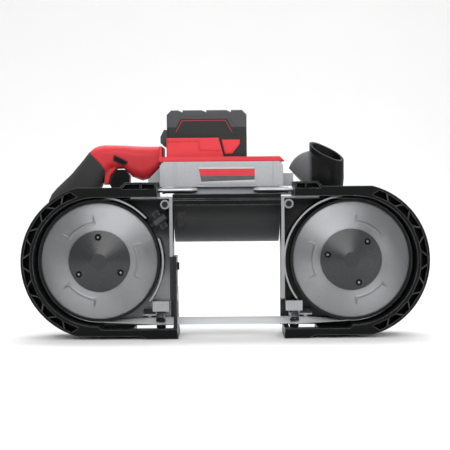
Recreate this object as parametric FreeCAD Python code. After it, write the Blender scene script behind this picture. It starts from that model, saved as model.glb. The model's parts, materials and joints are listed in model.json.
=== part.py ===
import FreeCAD, Part
import math
import os

V = FreeCAD.Vector

# Cordless portable band saw, deep cut. X runs from the rear handle to the front handle, Y away from the
# side that shows the wheels, Z up. The origin is at the middle of the base that the saw stands on.
# A setback is a distance behind the front faces of the guards. A reach is a distance from a wheel's
# axis towards the throat.

# Overall
overall_depth = 136.0
wheel_axis_height = 98.0
overrun = 1.0
running_gap = 0.05
clear_gap = 0.3
seat_gap = 0.1
full_turn = 360.0
rear, front = -1, 1

# Blade
blade_length = 1140.0
blade_width = 12.7
blade_thickness = 0.6
blade_twist = 45.0
tooth_pitch = 2.8
tooth_depth = 1.3
twist_steps = 4

# Wheels
tyre_radius_share = 0.79592
tyre_thickness = 3.5
tyre_width = 15.0
wheel_setback_share = 0.16544
disc_thickness = 4.0
rim_thickness = 5.0
hub_radius = 24.0
hub_length = 17.0
emboss_radius = 49.0
emboss_width = 2.6
emboss_height = 0.9
emboss_arm = 10.0
emboss_sweep = 46.0
emboss_count = 3
shaft_radius = 8.0

# Hub caps and their screws
cap_radius = 39.5
cap_edge = 2.2
cap_rise = 11.0
cap_top_radius = 10.0
cap_screw_circle_radius = 31.0
cap_screw_count = 3
socket_sides = 6
cap_screw_head_radius = 3.6
cap_screw_head = 3.0
cap_screw_socket = 1.7
cap_screw_well_radius = 4.6
cap_screw_shank_radius = 2.0
cap_screw_shank = 7.0
rear_cap_turn = 92.0
front_cap_turn = 132.0

# Guards
guard_depth_share = 0.47059
guard_outer_radius_share = 0.9949
guard_half_height_share = 0.96224
guard_inner_radius_share = 0.83673
guard_lower_inner_share = 0.87755
guard_wall = 4.5
guard_skin = 2.8
guard_cell_depth = 22.0
guard_cell_count = 13
guard_cell_start = 108.0
guard_cell_slant = 2.2
guard_rib_width = 2.0
bump_rise = 6.3
bump_slope = 7.0
bump_wall = 2.2
bump_pocket = 14.0
foot_slope = 8.0
trough_start = 44.0
trough_lip = 15.0
trough_floor = 2.0
trough_end_wall = 7.0
rear_top_back = 20.0
rear_bottom_over = 6.0
rear_bump_length = 46.0
rear_foot_length = 47.0
front_top_back = 17.0
front_bottom_back = 3.0
front_bump_length = 35.0
front_foot_length = 39.0

# Frame casting
web_setback_share = 0.33824
web_thickness = 6.0
rim_setback_share = 0.05147
rear_post_gap = 17.0
front_post_gap = 12.0
post_wall = 4.0
post_foot_gap = 2.0
arc_gap = 2.4
arc_wall = 2.2
arc_lower_share = 0.62
rear_arc_upper_share = 0.36
rear_arc_top_share = 0.68
blade_slot = 1.5
top_rim = 2.0
top_rim_reach = 42.0
spine_height = 12.0
corner_boss_radius = 6.0
corner_boss_inset = 9.5
corner_screw_radius = 3.8
corner_screw_head = 3.2
corner_screw_socket = 1.8
corner_screw_shank_radius = 2.0
corner_screw_shank = 9.0
web_bearing_radius = 13.0

# Blade guides
roller_radius = 6.0
roller_half_length = 4.5
guide_pin_radius = 2.5
guide_plate = 4.0
guide_low_width = 9.5
guide_high_width = 13.0
guide_half_length = 7.0
guide_inset = 17.0
backup_radius = 5.0
backup_half_length = 2.5
backup_ear = 3.0
backup_ear_length = 16.0
backup_ear_height = 8.3
guide_block_length = 21.0
guide_block_fore = 11.0
guide_block_foot_rise = 13.6
guide_block_top_rise = 26.6
guide_block_setback_share = 0.13235
guide_pin_stop = 0.4

# Work rest
rest_thickness = 4.5
rest_bottom_drop = 5.9
rest_top_rise = 84.6
rest_fork_rise = 26.6
rest_setback_share = 0.03676
rest_front_prong_share = 0.09559
rest_upper_depth_share = 0.28676
rest_back_prong_share = 0.11765
rest_back_setback_share = 0.42647
rest_slot_low_rise = 36.6
rest_slot_high_rise = 76.6
rest_screw_rise = 71.6
rest_screw_radius = 3.0
rest_screw_shank = 8.0
rest_screw_head_radius = 5.0
rest_screw_head = 2.4

# Wheel brush
brush_angle = 34.0
brush_setback_share = 0.14706
brush_gap = 1.0
brush_tuft_radius = 4.0
brush_tuft_length = 6.0
brush_holder_radius = 5.2
brush_holder_length = 17.0
brush_strap = 4.0
brush_strap_width = 9.0
brush_strap_half_length = 12.5
brush_screw_inset = 4.2
brush_screw_head_radius = 2.8
brush_screw_head = 2.2
brush_screw_socket = 1.3
brush_screw_shank_radius = 1.5
brush_screw_shank = 8.0

# Motor cover, motor housing and upper blade cover
motor_drop = 16.0
belly_drop = 33.0
motor_bay_share = 0.64444
motor_bay_wall = 6.0
housing_setback_share = 0.29412
housing_step = 12.7
housing_rise = 45.3
housing_rear_over = 17.5
housing_front_over = 4.5
housing_chamfer = 5.0
housing_wall = 4.0
panel_groove = 1.4
panel_groove_depth = 0.8
panel_groove_insets = (17.0, 20.5, -14.0)
vent_count = 7
vent_width = 3.0
vent_pitch_share = 0.06518
vent_height = 18.0
vent_low = 8.0
flare_setback_share = 0.49265
flare_length = 17.0
flare_top_drop = 5.5
flare_knee_drop = 22.5
flare_foot_drop = 40.0
plate_length_share = 0.53
plate_low_drop = 27.0
plate_high_drop = 7.0
plate_slant = 4.0
plate_frame = 2.6
plate_frame_rise = 1.2
plate_thickness = 0.8
cover_setback_share = 0.06618
cover_thickness = 2.5
cover_drop = 10.5
cover_groove_drop = 6.0
cover_groove = 2.0
cover_lip = 4.0
lens_inset = 4.5
lens_length = 10.0
lens_low_drop = 28.0
lens_high_drop = 7.0
lens_depth = 2.0

# Guard pins
pin_radius = 4.0
pin_length_share = 0.26074
pin_tip = 6.0
pin_neck_radius = 2.6
pin_neck = 6.0
pin_rise = 8.3
pin_collar_radius = 4.6
pin_collar = 3.0
pin_socket = 10.0

# Drive train
spur_module_share = 0.017857
drive_gear_teeth = 61
spur_pinion_teeth = 11
spur_setback_share = 0.41912
spur_width_share = 0.088235
bevel_module_share = 0.011029
bevel_gear_teeth = 24
bevel_pinion_teeth = 9
bevel_small_share = 0.68
bevel_back_share = 0.029412
addendum_share = 0.85
dedendum_share = 1.1
tooth_tip_share = 0.2
tooth_root_share = 0.46
tooth_sink_share = 0.2
collar_radius = 11.0
collar_gap = 0.4
middle_shaft_radius = 5.0
middle_bearing_radius = 9.5
case_wall = 4.0
case_gap = 2.5
case_rear_wall_share = 0.036765
case_bevel_depth = 30.0
case_arm_radius = 17.0
case_arm_bore = 12.0

# Motor
stator_gap = 0.5
stator_bore_share = 0.59649
stator_length_share = 0.42008
rotor_gap = 0.6
rotor_length_share = 0.44905
rotor_shaft_radius = 4.0
motor_bearing_radius = 11.0

# Blade tension
idler_axle_radius = 8.0
idler_axle_front = 0.8
idler_bearing_radius = 13.0
slide_thickness = 8.0
slide_travel = 4.0
slide_top = 18.0
slide_wall = 6.0
rail_width = 6.0
rail_lip = 3.0
rail_lip_cover = 5.0
lever_inset = 4.0
lever_drop = 42.0
lever_pin_radius = 5.0
cam_radius = 14.0
cam_slack = 1.6
lever_boss_radius = 15.0
lever_setback_share = 0.47794
lever_thickness = 7.0
lever_length = 58.0
lever_width = 15.0
lever_tip_width = 11.0
lever_knob_radius = 6.5
lever_neck_radius = 7.4
lever_lip = 4.0

# Rear handle and housing
handle_half_width = 18.5
handle_over = 1.7
handle_drop = 83.3
handle_length = 150.5
handle_height = 107.4
roof_setback_share = 0.30147
roof_thickness = 6.2
roof_front_over = 2.0
roof_slant = 6.0
receptacle_rise = 25.0
receptacle_wall = 4.0
receptacle_rear_inset = 8.5
receptacle_length = 68.0
receptacle_slant = 6.5
receptacle_stop = 14.0
relief_depth = 1.0
relief_shares = ((-0.2, 0.81), (0.62, 0.83), (0.64, 0.36), (1.3, 0.31), (1.3, 0.0), (-0.2, 0.0))
trigger_half_width = 11.0
trigger_travel = 5.0
button_proud = 2.0
switch_half_width = 9.0

# Places on the rear handle, as shares of its length from the front end and of its height from its base
# Each section of the handle: outer place, inner place, share of the half width
handle_sections = (((0.932, 0.075), (0.666, 0.038), 0.88), ((0.975, 0.155), (0.635, 0.105), 0.95),
                   ((0.998, 0.235), (0.618, 0.165), 1.0), ((0.995, 0.315), (0.612, 0.22), 1.0),
                   ((0.968, 0.395), (0.611, 0.27), 1.0), ((0.925, 0.465), (0.608, 0.33), 1.0),
                   ((0.786, 0.648), (0.54, 0.429), 0.97), ((0.676, 0.83), (0.497, 0.569), 0.94),
                   ((0.635, 0.905), (0.468, 0.625), 0.95), ((0.585, 0.963), (0.436, 0.675), 0.96),
                   ((0.54, 0.988), (0.413, 0.693), 0.98), ((0.485, 0.999), (0.385, 0.703), 1.0),
                   ((0.33, 0.992), (0.32, 0.704), 1.0), ((0.235, 0.984), (0.245, 0.6), 1.0),
                   ((0.15, 0.978), (0.16, 0.555), 1.02), ((0.09, 0.9765), (0.102, 0.58), 1.07),
                   ((0.03, 0.975), (0.045, 0.655), 1.12), ((0.0, 0.969), (0.0, 0.715), 1.15))
handle_corner_share = 0.72
grip_edge_shares = ((0.726, 1.12), (0.632, 0.924), (0.514, 0.749), (0.486, 0.681),
                    (0.497, 0.506), (0.497, -0.2), (1.16, -0.2), (1.16, 1.12))
hook_shares = ((0.4965, 0.506), (0.462, 0.506), (0.438, 0.623), (0.389, 0.704), (0.389, 0.8), (0.48, 0.8),
               (0.4865, 0.681))
hook_half_width = 13.5
trigger_rear_shares = ((0.427, 0.448), (0.45, 0.513), (0.427, 0.617), (0.385, 0.692))
trigger_front_shares = ((0.313, 0.692), (0.269, 0.611), (0.274, 0.504), (0.361, 0.448))
button_shares = ((0.402, 0.869), (0.285, 0.784), (0.316, 0.743), (0.406, 0.803))
switch_shares = ((0.24, 0.66), (0.12, 0.66), (0.12, 0.81), (0.24, 0.81))

# Battery
battery_width_share = 0.84444
battery_length_share = 1.53676
battery_shell = 36.0
battery_edge = 6.0
battery_round = 3.0
battery_wall = 5.0
battery_core_inset = 3.0
battery_core_lift = 5.0
battery_tail = 9.0
battery_tail_half_width = 26.0
battery_tail_rise = 11.0
battery_tail_drop = 10.5
battery_notch = 3.0
battery_notch_length = 6.5
battery_notch_shares = (0.2, 0.495, 0.805)
battery_panel = 0.8
battery_panel_shares = ((0.1, 0.06), (0.11, 0.4), (0.17, 0.78), (0.74, 0.82), (0.86, 0.46), (0.87, 0.06))
cell_radius = 9.1
cell_end_gap = 1.0
cell_gap = 0.6
cells_along = 5
cell_rows = 2
latch_thickness = 3.0
latch_proud = 1.2
latch_travel = 3.0
latch_shares = ((0.683, 0.89), (0.914, 0.89), (0.914, 0.65), (0.818, 0.15), (0.728, 0.13))
terminal_length = 16.0
terminal_half_width = 15.0
terminal_rise = 3.6
terminal_slots = 4
terminal_slot = 1.6

# Front handle
horn_x_over = 65.5
horn_half_length = 23.0
horn_half_depth = 19.0
horn_wall = 3.5
horn_foot_half_length = 21.5
horn_foot_half_depth = 18.0
horn_full = 14.0
horn_high = 66.0
horn_middle = 50.4
horn_slope_x = 0.457
horn_slope_y = 0.42
horn_mouth = 44.0
ball_radius = 34.0
ball_steps = 11
ball_half_depth = 25.0
ball_inset = 18.5
ball_rise = 18.0
ball_cut_x = 52.3
ball_cut_rise = 30.7
ball_cut_slope = 1.05
arm_thickness = 7.0
arm_rise = 8.2
arm_half_depth = 18.0
arm_over = 21.0
boss_length = 15.0
boss_low = 4.8
boss_high = 21.8

wheel_setback = wheel_setback_share * overall_depth
guard_depth = guard_depth_share * overall_depth
web_setback = web_setback_share * overall_depth
rim_setback = rim_setback_share * overall_depth
guide_block_setback = guide_block_setback_share * overall_depth
rest_setback = rest_setback_share * overall_depth
rest_front_prong = rest_front_prong_share * overall_depth
rest_upper_depth = rest_upper_depth_share * overall_depth
rest_back_prong = rest_back_prong_share * overall_depth
rest_back_setback = rest_back_setback_share * overall_depth
brush_setback = brush_setback_share * overall_depth
housing_setback = housing_setback_share * overall_depth
flare_setback = flare_setback_share * overall_depth
cover_setback = cover_setback_share * overall_depth
spur_setback = spur_setback_share * overall_depth
lever_setback = lever_setback_share * overall_depth
roof_setback = roof_setback_share * overall_depth
tyre_radius = tyre_radius_share * wheel_axis_height
guard_outer_radius = guard_outer_radius_share * wheel_axis_height
guard_half_height = guard_half_height_share * wheel_axis_height
guard_inner_radius = guard_inner_radius_share * wheel_axis_height
guard_lower_inner = guard_lower_inner_share * wheel_axis_height
rear_post_reach = tyre_radius + rear_post_gap
front_post_reach = tyre_radius + front_post_gap
rear_top_reach = rear_post_reach - rear_top_back
front_top_reach = front_post_reach - front_top_back
front_bottom_reach = front_post_reach - front_bottom_back
rear_bottom_reach = rear_post_reach + rear_bottom_over
front_y = -overall_depth / 2
back_y = overall_depth / 2
guard_back_y = front_y + guard_depth
web_front_y = front_y + web_setback
web_back_y = web_front_y + web_thickness
rim_front_y = front_y + rim_setback
wheel_front_y = front_y + wheel_setback
wheel_back_y = wheel_front_y + tyre_width
blade_y = wheel_front_y + tyre_width / 2
motor_y = (web_front_y + back_y) / 2
half_room = back_y - motor_y
motor_bay_radius = motor_bay_share * half_room
stator_radius = motor_bay_radius - stator_gap
stator_bore = stator_bore_share * stator_radius
battery_half_width = battery_width_share * half_room
battery_length = battery_length_share * receptacle_length
cell_length = 2 * (battery_half_width - battery_wall) - cell_end_gap
blade_radius = tyre_radius + clear_gap + blade_thickness / 2
wheel_offset = (blade_length / 2 - math.pi * blade_radius) / 2
blade_run_height = wheel_axis_height - blade_radius
guide_block_foot = blade_run_height + guide_block_foot_rise
guide_block_top = blade_run_height + guide_block_top_rise
post_foot = wheel_axis_height - guide_block_top - post_foot_gap
rest_bottom = blade_run_height - rest_bottom_drop
rest_top = blade_run_height + rest_top_rise
rest_fork = blade_run_height + rest_fork_rise
rest_slot_low = blade_run_height + rest_slot_low_rise
rest_slot_high = blade_run_height + rest_slot_high_rise
rest_screw_height = blade_run_height + rest_screw_rise
disc_radius = tyre_radius - tyre_thickness
arc_radius = blade_radius + blade_thickness / 2 + arc_gap
web_radius = guard_inner_radius - seat_gap
web_lower = guard_lower_inner - seat_gap
spine_top = wheel_axis_height + web_radius
split_height = spine_top - spine_height - seat_gap
motor_height = split_height - motor_drop
belly_height = motor_height - belly_drop
throat_rear_x = -wheel_offset + rear_post_reach
throat_front_x = wheel_offset - front_post_reach
throat_x = (throat_rear_x + throat_front_x) / 2
throat_length = throat_front_x - throat_rear_x
stator_length = stator_length_share * throat_length
rotor_length = rotor_length_share * throat_length
plate_length = plate_length_share * throat_length
pin_length = pin_length_share * throat_length
vent_pitch = vent_pitch_share * throat_length
housing_front_height = spine_top + housing_step
housing_top = spine_top + housing_rise
housing_rear_x = throat_rear_x - housing_rear_over
housing_front_x = throat_front_x + housing_front_over
flare_top = housing_top - flare_top_drop
flare_knee = housing_top - flare_knee_drop
flare_foot = housing_top - flare_foot_drop
plate_rear_x = throat_x - plate_length / 2
plate_front_x = throat_x + plate_length / 2
plate_low_height = housing_top - plate_low_drop
plate_high_height = housing_top - plate_high_drop
pin_height = spine_top + pin_rise
cover_high_height = pin_height - pin_collar_radius - clear_gap
cover_low_height = spine_top - cover_drop
cover_groove_height = cover_low_height + cover_groove_drop
lens_rear_x = throat_rear_x + lens_inset
lens_low_height = split_height - lens_low_drop
lens_high_height = split_height - lens_high_drop


def corner_box(low, high):
    size = V(*high) - V(*low)
    return Part.makeBox(size.x, size.y, size.z, V(*low))


def rod(start, end, radius):
    axis = end - start
    return Part.makeCylinder(radius, axis.Length, start, axis)


def rod_y(x, z, radius, y_low, y_high):
    return rod(V(x, y_low, z), V(x, y_high, z), radius)


def rod_x(y, z, radius, x_low, x_high):
    return rod(V(x_low, y, z), V(x_high, y, z), radius)


def polygon(corners):
    return Part.Face(Part.makePolygon(corners + corners[:1]))


def slab(points, y_low, y_high):
    face = polygon([V(x, y_low, z) for x, z in points])
    return face.extrude(V(0, y_high - y_low, 0))


def turned(points):
    face = polygon([V(radius, y, 0) for radius, y in points])
    return face.revolve(V(0, 0, 0), V(0, 1, 0), full_turn)


def union(shapes):
    return shapes[0].multiFuse(shapes[1:]).removeSplitter()


def group(shapes):
    return Part.makeCompound(shapes)


def polar(radius, degrees):
    angle = math.radians(degrees)
    return radius * math.cos(angle), radius * math.sin(angle)


def at_wheel(shape, side):
    # Shapes are drawn about a wheel's axis with the throat towards +X, then set at the rear or front wheel.
    if side == front:
        shape = shape.mirror(V(0, 0, 0), V(1, 0, 0))
    shape.translate(V(side * wheel_offset, 0, wheel_axis_height))
    return shape


# Guards


def d_face(radius, top, bottom, top_end, bottom_end, y):
    # A round end on the outer side, running into straight edges at the top and the bottom.
    arc_bottom = min(bottom, radius)
    start = V(-math.sqrt(radius ** 2 - top ** 2), y, top)
    finish = V(-math.sqrt(radius ** 2 - arc_bottom ** 2), y, -arc_bottom)
    path = [finish]
    if bottom > arc_bottom:
        path.append(V(finish.x + bottom - arc_bottom, y, -bottom))
    path.append(V(bottom_end, y, -bottom))
    path.append(V(top_end, y, top))
    path.append(start)
    edges = [Part.Arc(start, V(-radius, y, 0), finish).toShape()]
    for here, there in zip(path, path[1:]):
        edges.append(Part.makeLine(here, there))
    return Part.Face(Part.Wire(edges))


def guard_cell(index):
    inner = guard_inner_radius + guard_wall
    outer = guard_outer_radius - guard_skin
    step = (full_turn / 2 - guard_cell_start) * 2 / guard_cell_count
    corners = []
    for edge, sign in ((index, 1), (index + 1, -1)):
        slant = guard_cell_slant * (1 if edge % 2 else -1)
        rim = [(inner, guard_cell_start + edge * step + slant),
               (outer, guard_cell_start + edge * step - slant)]
        for radius, angle in rim[::sign]:
            half_rib = sign * math.degrees(guard_rib_width / 2 / radius)
            corners.append(polar(radius, angle + half_rib))
    return slab(corners, front_y - overrun, front_y + guard_cell_depth)


def guard_bump(reach, length):
    base = guard_half_height - bump_wall
    top = guard_half_height + bump_rise
    start = reach - length
    outline = [(start, base), (start, guard_half_height), (start + bump_slope, top), (reach, top),
               (reach, base)]
    block = slab(outline, front_y, guard_back_y)
    middle = start + bump_slope + (length - bump_slope) / 2
    floor = guard_half_height - bump_wall
    roof = top - bump_wall
    slope_share = (roof - floor) / (top - guard_half_height + bump_wall)
    pocket_start = start + bump_wall
    first = [(pocket_start, floor), (pocket_start + bump_slope * slope_share, roof),
             (middle - bump_wall / 2, roof), (middle - bump_wall / 2, floor)]
    second = [(middle + bump_wall / 2, floor), (middle + bump_wall / 2, roof),
              (reach - bump_wall, roof), (reach - bump_wall, floor)]
    pockets = [slab(each, front_y - overrun, front_y + bump_pocket) for each in (first, second)]
    return block, pockets


def guard_foot(reach, length):
    start = reach - length
    outline = [(start, -guard_half_height), (start + foot_slope, -wheel_axis_height),
               (reach, -wheel_axis_height), (reach, -guard_half_height)]
    return slab(outline, front_y, guard_back_y)


def guard(side, top_reach, bottom_reach, bump_length, foot_length):
    body = d_face(guard_outer_radius, guard_half_height, guard_half_height, top_reach, bottom_reach,
                  front_y)
    body = body.extrude(V(0, guard_depth, 0))
    bump, pockets = guard_bump(top_reach, bump_length)
    body = union([body, bump, guard_foot(bottom_reach, foot_length)])
    hollow = d_face(guard_inner_radius, guard_inner_radius, guard_lower_inner,
                    bottom_reach + overrun, bottom_reach + overrun, front_y - overrun)
    cutters = [hollow.extrude(V(0, guard_depth + 2 * overrun, 0))]
    cutters.extend(pockets)
    cutters.extend(guard_cell(index) for index in range(guard_cell_count))
    cutters.append(corner_box((trough_start, front_y + trough_lip, -guard_half_height + trough_floor),
                              (bottom_reach - trough_end_wall, guard_back_y + overrun, 0)))
    return at_wheel(body.cut(cutters), side).cut(guard_pin_hole(side))


# Frame casting


def frame_side(side, post_reach, shift, arc_tops):
    # The arcs stand off by the shift, which leaves the idler wheel room for its travel.
    web = d_face(web_radius, web_radius, web_lower, post_reach, post_reach, web_front_y)
    solids = [web.extrude(V(0, web_thickness, 0))]
    solids.append(corner_box((post_reach - post_wall, rim_front_y, -post_foot),
                             (post_reach, web_front_y, web_radius)))
    solids.append(corner_box((top_rim_reach, rim_front_y, web_radius - top_rim),
                             (post_reach, web_front_y, web_radius)))
    ring = rod_y(shift, 0, arc_radius + arc_wall, rim_front_y, web_front_y)
    ring = ring.cut(rod_y(shift, 0, arc_radius, rim_front_y - overrun, web_front_y + overrun))
    for low, high in arc_tops:
        solids.append(ring.common(corner_box((0, rim_front_y, low), (post_reach, web_front_y, high))))
    boss_x = post_reach - corner_boss_inset
    boss_z = web_radius - corner_boss_inset
    solids.append(rod_y(boss_x, boss_z, corner_boss_radius, rim_front_y, web_front_y))
    body = union(solids)
    body = body.cut(rod_y(boss_x, boss_z, corner_screw_shank_radius + seat_gap, rim_front_y - overrun,
                          rim_front_y + corner_screw_shank))
    return at_wheel(body, side)


def frame_casting():
    low = -arc_radius * arc_lower_share
    top = web_radius - top_rim / 2
    upper = arc_radius * rear_arc_upper_share
    rear_well = frame_side(rear, rear_post_reach, 0, [(low, upper), (arc_radius * rear_arc_top_share, top)])
    front_well = frame_side(front, front_post_reach, slide_travel, [(low, top)])
    spine = corner_box((-wheel_offset, web_front_y, spine_top - spine_height),
                       (wheel_offset, web_back_y, spine_top))
    body = union([rear_well, front_well, spine])
    bearing_seat = rod_y(-wheel_offset, wheel_axis_height, web_bearing_radius + seat_gap,
                         web_front_y - overrun, web_back_y + overrun)
    blade_top = wheel_axis_height + blade_radius
    slot = corner_box((-wheel_offset, blade_y - blade_width / 2 - blade_slot, blade_top - blade_slot),
                      (wheel_offset, blade_y + blade_width / 2 + blade_slot, spine_top - top_rim))
    return body.cut([bearing_seat, slot])


# Wheels


def emboss(index):
    # A raised arc on the disc whose two ends turn outwards.
    ring = rod_y(0, 0, emboss_radius + emboss_width / 2, wheel_front_y - emboss_height, wheel_front_y)
    ring = ring.cut(rod_y(0, 0, emboss_radius - emboss_width / 2, wheel_front_y - 2 * emboss_height,
                          wheel_front_y))
    far = 2 * emboss_radius
    wedge = [(0, 0), polar(far, -emboss_sweep / 2), polar(far, emboss_sweep / 2)]
    parts = [ring.common(slab(wedge, wheel_front_y - emboss_height, wheel_front_y))]
    for sign in (-1, 1):
        arm = slab([(emboss_radius, -emboss_width / 2), (emboss_radius + emboss_arm, 0),
                    (emboss_radius, emboss_width / 2)], wheel_front_y - emboss_height, wheel_front_y)
        arm.rotate(V(0, 0, 0), V(0, -1, 0), sign * emboss_sweep / 2)
        parts.append(arm)
    shape = union(parts)
    shape.rotate(V(0, 0, 0), V(0, -1, 0), index * full_turn / emboss_count)
    return shape


def cap_screw_spots(turn):
    pitch = full_turn / cap_screw_count
    return [polar(cap_screw_circle_radius, turn + index * pitch) for index in range(cap_screw_count)]


def wheel(side, bore, turn):
    hub_back = wheel_front_y + hub_length
    disc_back = wheel_front_y + disc_thickness
    rim = disc_radius - rim_thickness
    body = turned([(bore, wheel_front_y), (disc_radius, wheel_front_y), (disc_radius, wheel_back_y),
                   (rim, wheel_back_y), (rim, disc_back), (hub_radius, disc_back), (hub_radius, hub_back),
                   (bore, hub_back)])
    body = union([body] + [emboss(index) for index in range(emboss_count)])
    holes = []
    for x, z in cap_screw_spots(turn):
        holes.append(rod_y(x, z, cap_screw_shank_radius + seat_gap, wheel_front_y - overrun,
                           disc_back + overrun))
    return at_wheel(body.cut(holes), side)


def tyre(side):
    return at_wheel(turned([(disc_radius, wheel_front_y), (tyre_radius, wheel_front_y),
                            (tyre_radius, wheel_back_y), (disc_radius, wheel_back_y)]), side)


def hub_cap(side, turn):
    edge_y = wheel_front_y - cap_edge
    body = turned([(0, wheel_front_y), (cap_radius, wheel_front_y), (cap_radius, edge_y),
                   (cap_top_radius, wheel_front_y - cap_rise), (0, wheel_front_y - cap_rise)])
    holes = []
    for x, z in cap_screw_spots(turn):
        holes.append(rod_y(x, z, cap_screw_well_radius, wheel_front_y - cap_rise, edge_y))
        holes.append(rod_y(x, z, cap_screw_shank_radius + seat_gap, edge_y - overrun,
                           wheel_front_y + overrun))
    return at_wheel(body.cut(holes), side)


def socket_screw(x, z, seat_y, head_radius, head, socket, shank_radius, shank):
    body = rod_y(x, z, head_radius, seat_y - head, seat_y)
    body = union([body, rod_y(x, z, shank_radius, seat_y, seat_y + shank)])
    corners = []
    for index in range(socket_sides):
        dx, dz = polar(socket, index * full_turn / socket_sides)
        corners.append((x + dx, z + dz))
    return body.cut(slab(corners, seat_y - head - overrun, seat_y - head / 2))


def hub_screws(side, turn):
    seat = wheel_front_y - cap_edge
    screws = []
    for x, z in cap_screw_spots(turn):
        screws.append(socket_screw(x, z, seat, cap_screw_head_radius, cap_screw_head, cap_screw_socket,
                                   cap_screw_shank_radius, cap_screw_shank - cap_edge))
    return at_wheel(group(screws), side)


def frame_screws():
    screws = []
    for side, reach in ((rear, rear_post_reach), (front, front_post_reach)):
        screw = socket_screw(reach - corner_boss_inset, web_radius - corner_boss_inset, rim_front_y,
                             corner_screw_radius, corner_screw_head, corner_screw_socket,
                             corner_screw_shank_radius, corner_screw_shank - overrun)
        screws.append(at_wheel(screw, side))
    return group(screws)


# Blade


def blade_section(x, degrees):
    # The blade's cross-section on the lower run, turned about the run's line. The teeth side faces down.
    angle = math.radians(degrees)
    along = V(0, math.cos(angle), math.sin(angle)) * (blade_width / 2)
    across = V(0, -math.sin(angle), math.cos(angle)) * (blade_thickness / 2)
    centre = V(x, blade_y, blade_run_height)
    corners = [centre - along - across, centre + along - across, centre + along + across,
               centre - along + across]
    return Part.makePolygon(corners + corners[:1])


def blade_twist_run(side, guide_x):
    # The blade leaves the wheel flat for the length of the idler's travel, then twists up to the guide.
    start = side * (wheel_offset - slide_travel - clear_gap)
    sections = [blade_section(side * wheel_offset, 0)]
    for step in range(twist_steps + 1):
        share = step / twist_steps
        sections.append(blade_section(start * (1 - share) + guide_x * share, blade_twist * share))
    return Part.makeLoft(sections, True, True)


def toothed_run(start_x, end_x):
    angle = math.radians(blade_twist)
    along = V(0, math.cos(angle), math.sin(angle))
    across = V(0, -math.sin(angle), math.cos(angle))
    origin = V(0, blade_y, blade_run_height) - across * (blade_thickness / 2)
    edge = -blade_width / 2
    count = int((end_x - start_x) / tooth_pitch)
    pitch = (end_x - start_x) / count
    points = [(start_x, blade_width / 2)]
    for index in range(count):
        points.append((start_x + index * pitch, edge))
        points.append((start_x + (index + 1) * pitch, edge + tooth_depth))
    points.append((end_x, blade_width / 2))
    corners = [origin + V(x, 0, 0) + along * w for x, w in points]
    return polygon(corners).extrude(across * blade_thickness)


def guide_x(side):
    reach = rear_post_reach if side == rear else front_post_reach
    return side * (wheel_offset - reach + guide_inset)


def blade():
    inner = blade_radius - blade_thickness / 2
    outer = blade_radius + blade_thickness / 2
    low = blade_y - blade_width / 2
    high = blade_y + blade_width / 2
    solids = []
    for side in (rear, front):
        ring = rod_y(0, 0, outer, low, high).cut(rod_y(0, 0, inner, low - overrun, high + overrun))
        half = ring.common(corner_box((-2 * outer, low, -2 * outer), (0, high, 2 * outer)))
        solids.append(at_wheel(half, side))
        solids.append(blade_twist_run(side, guide_x(side)))
    top = wheel_axis_height + inner
    solids.append(corner_box((-wheel_offset, low, top), (wheel_offset, high, top + blade_thickness)))
    solids.append(toothed_run(guide_x(rear), guide_x(front)))
    return union(solids)


# Blade guides


def guide_frame(side, along_x, across_blade, along_blade):
    # A point at a guide: along the run, across the blade's face and along the blade's width.
    angle = math.radians(blade_twist)
    width_way = V(0, math.cos(angle), math.sin(angle))
    face_way = V(0, -math.sin(angle), math.cos(angle))
    centre = V(guide_x(side) + side * along_x, blade_y, blade_run_height)
    return centre + face_way * across_blade + width_way * along_blade


def guide_block(side, lows, highs):
    low_x, low_across, low_along = lows
    high_x, high_across, high_along = highs
    ring = [guide_frame(side, x, across, low_along) for x, across in
            ((low_x, low_across), (high_x, low_across), (high_x, high_across), (low_x, high_across))]
    far = guide_frame(side, low_x, low_across, high_along)
    return polygon(ring).extrude(far - ring[0])


roller_offset = blade_thickness / 2 + clear_gap + roller_radius
plate_low = blade_width / 2 + clear_gap
backup_rise = blade_width / 2 + clear_gap + backup_radius
backup_along = guide_half_length + backup_ear_length / 2


def guide_bracket(side):
    solids = [guide_block(side, (-guide_half_length, -guide_low_width, plate_low),
                          (guide_half_length, guide_high_width, plate_low + guide_plate))]
    ear_inner = backup_half_length + clear_gap
    for low, high in ((ear_inner, ear_inner + backup_ear), (-ear_inner - backup_ear, -ear_inner)):
        solids.append(guide_block(side, (0, low, plate_low),
                                  (guide_half_length + backup_ear_length, high,
                                   plate_low + backup_ear_height)))
    for sign in (-1, 1):
        start = guide_frame(side, 0, sign * roller_offset, plate_low + guide_plate / 2)
        end = guide_frame(side, 0, sign * roller_offset, -roller_half_length - guide_pin_stop)
        solids.append(rod(start, end, guide_pin_radius))
    reach = ear_inner + backup_ear
    solids.append(rod(guide_frame(side, backup_along, -reach, backup_rise),
                      guide_frame(side, backup_along, reach, backup_rise), guide_pin_radius))
    low_x, high_x = sorted((guide_x(side) - side * guide_block_fore,
                            guide_x(side) + side * (guide_block_length - guide_block_fore)))
    block = corner_box((low_x, front_y + guide_block_setback, guide_block_foot),
                       (high_x, web_front_y, guide_block_top))
    spin_room = rod(guide_frame(side, backup_along, -ear_inner, backup_rise),
                    guide_frame(side, backup_along, ear_inner, backup_rise), backup_radius + clear_gap)
    solids.append(block.cut(spin_room))
    return union(solids)


def guide_roller(side, sign):
    start = guide_frame(side, 0, sign * roller_offset, -roller_half_length)
    end = guide_frame(side, 0, sign * roller_offset, roller_half_length)
    return rod(start, end, roller_radius).cut(rod(start, end, guide_pin_radius + running_gap))


def backup_roller(side):
    start = guide_frame(side, backup_along, -backup_half_length, backup_rise)
    end = guide_frame(side, backup_along, backup_half_length, backup_rise)
    return rod(start, end, backup_radius).cut(rod(start, end, guide_pin_radius + running_gap))


# Work rest and wheel brush

rest_x = -wheel_offset + rear_post_reach + clear_gap
rest_screw_y = front_y + rest_setback + rest_upper_depth / 2


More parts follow.
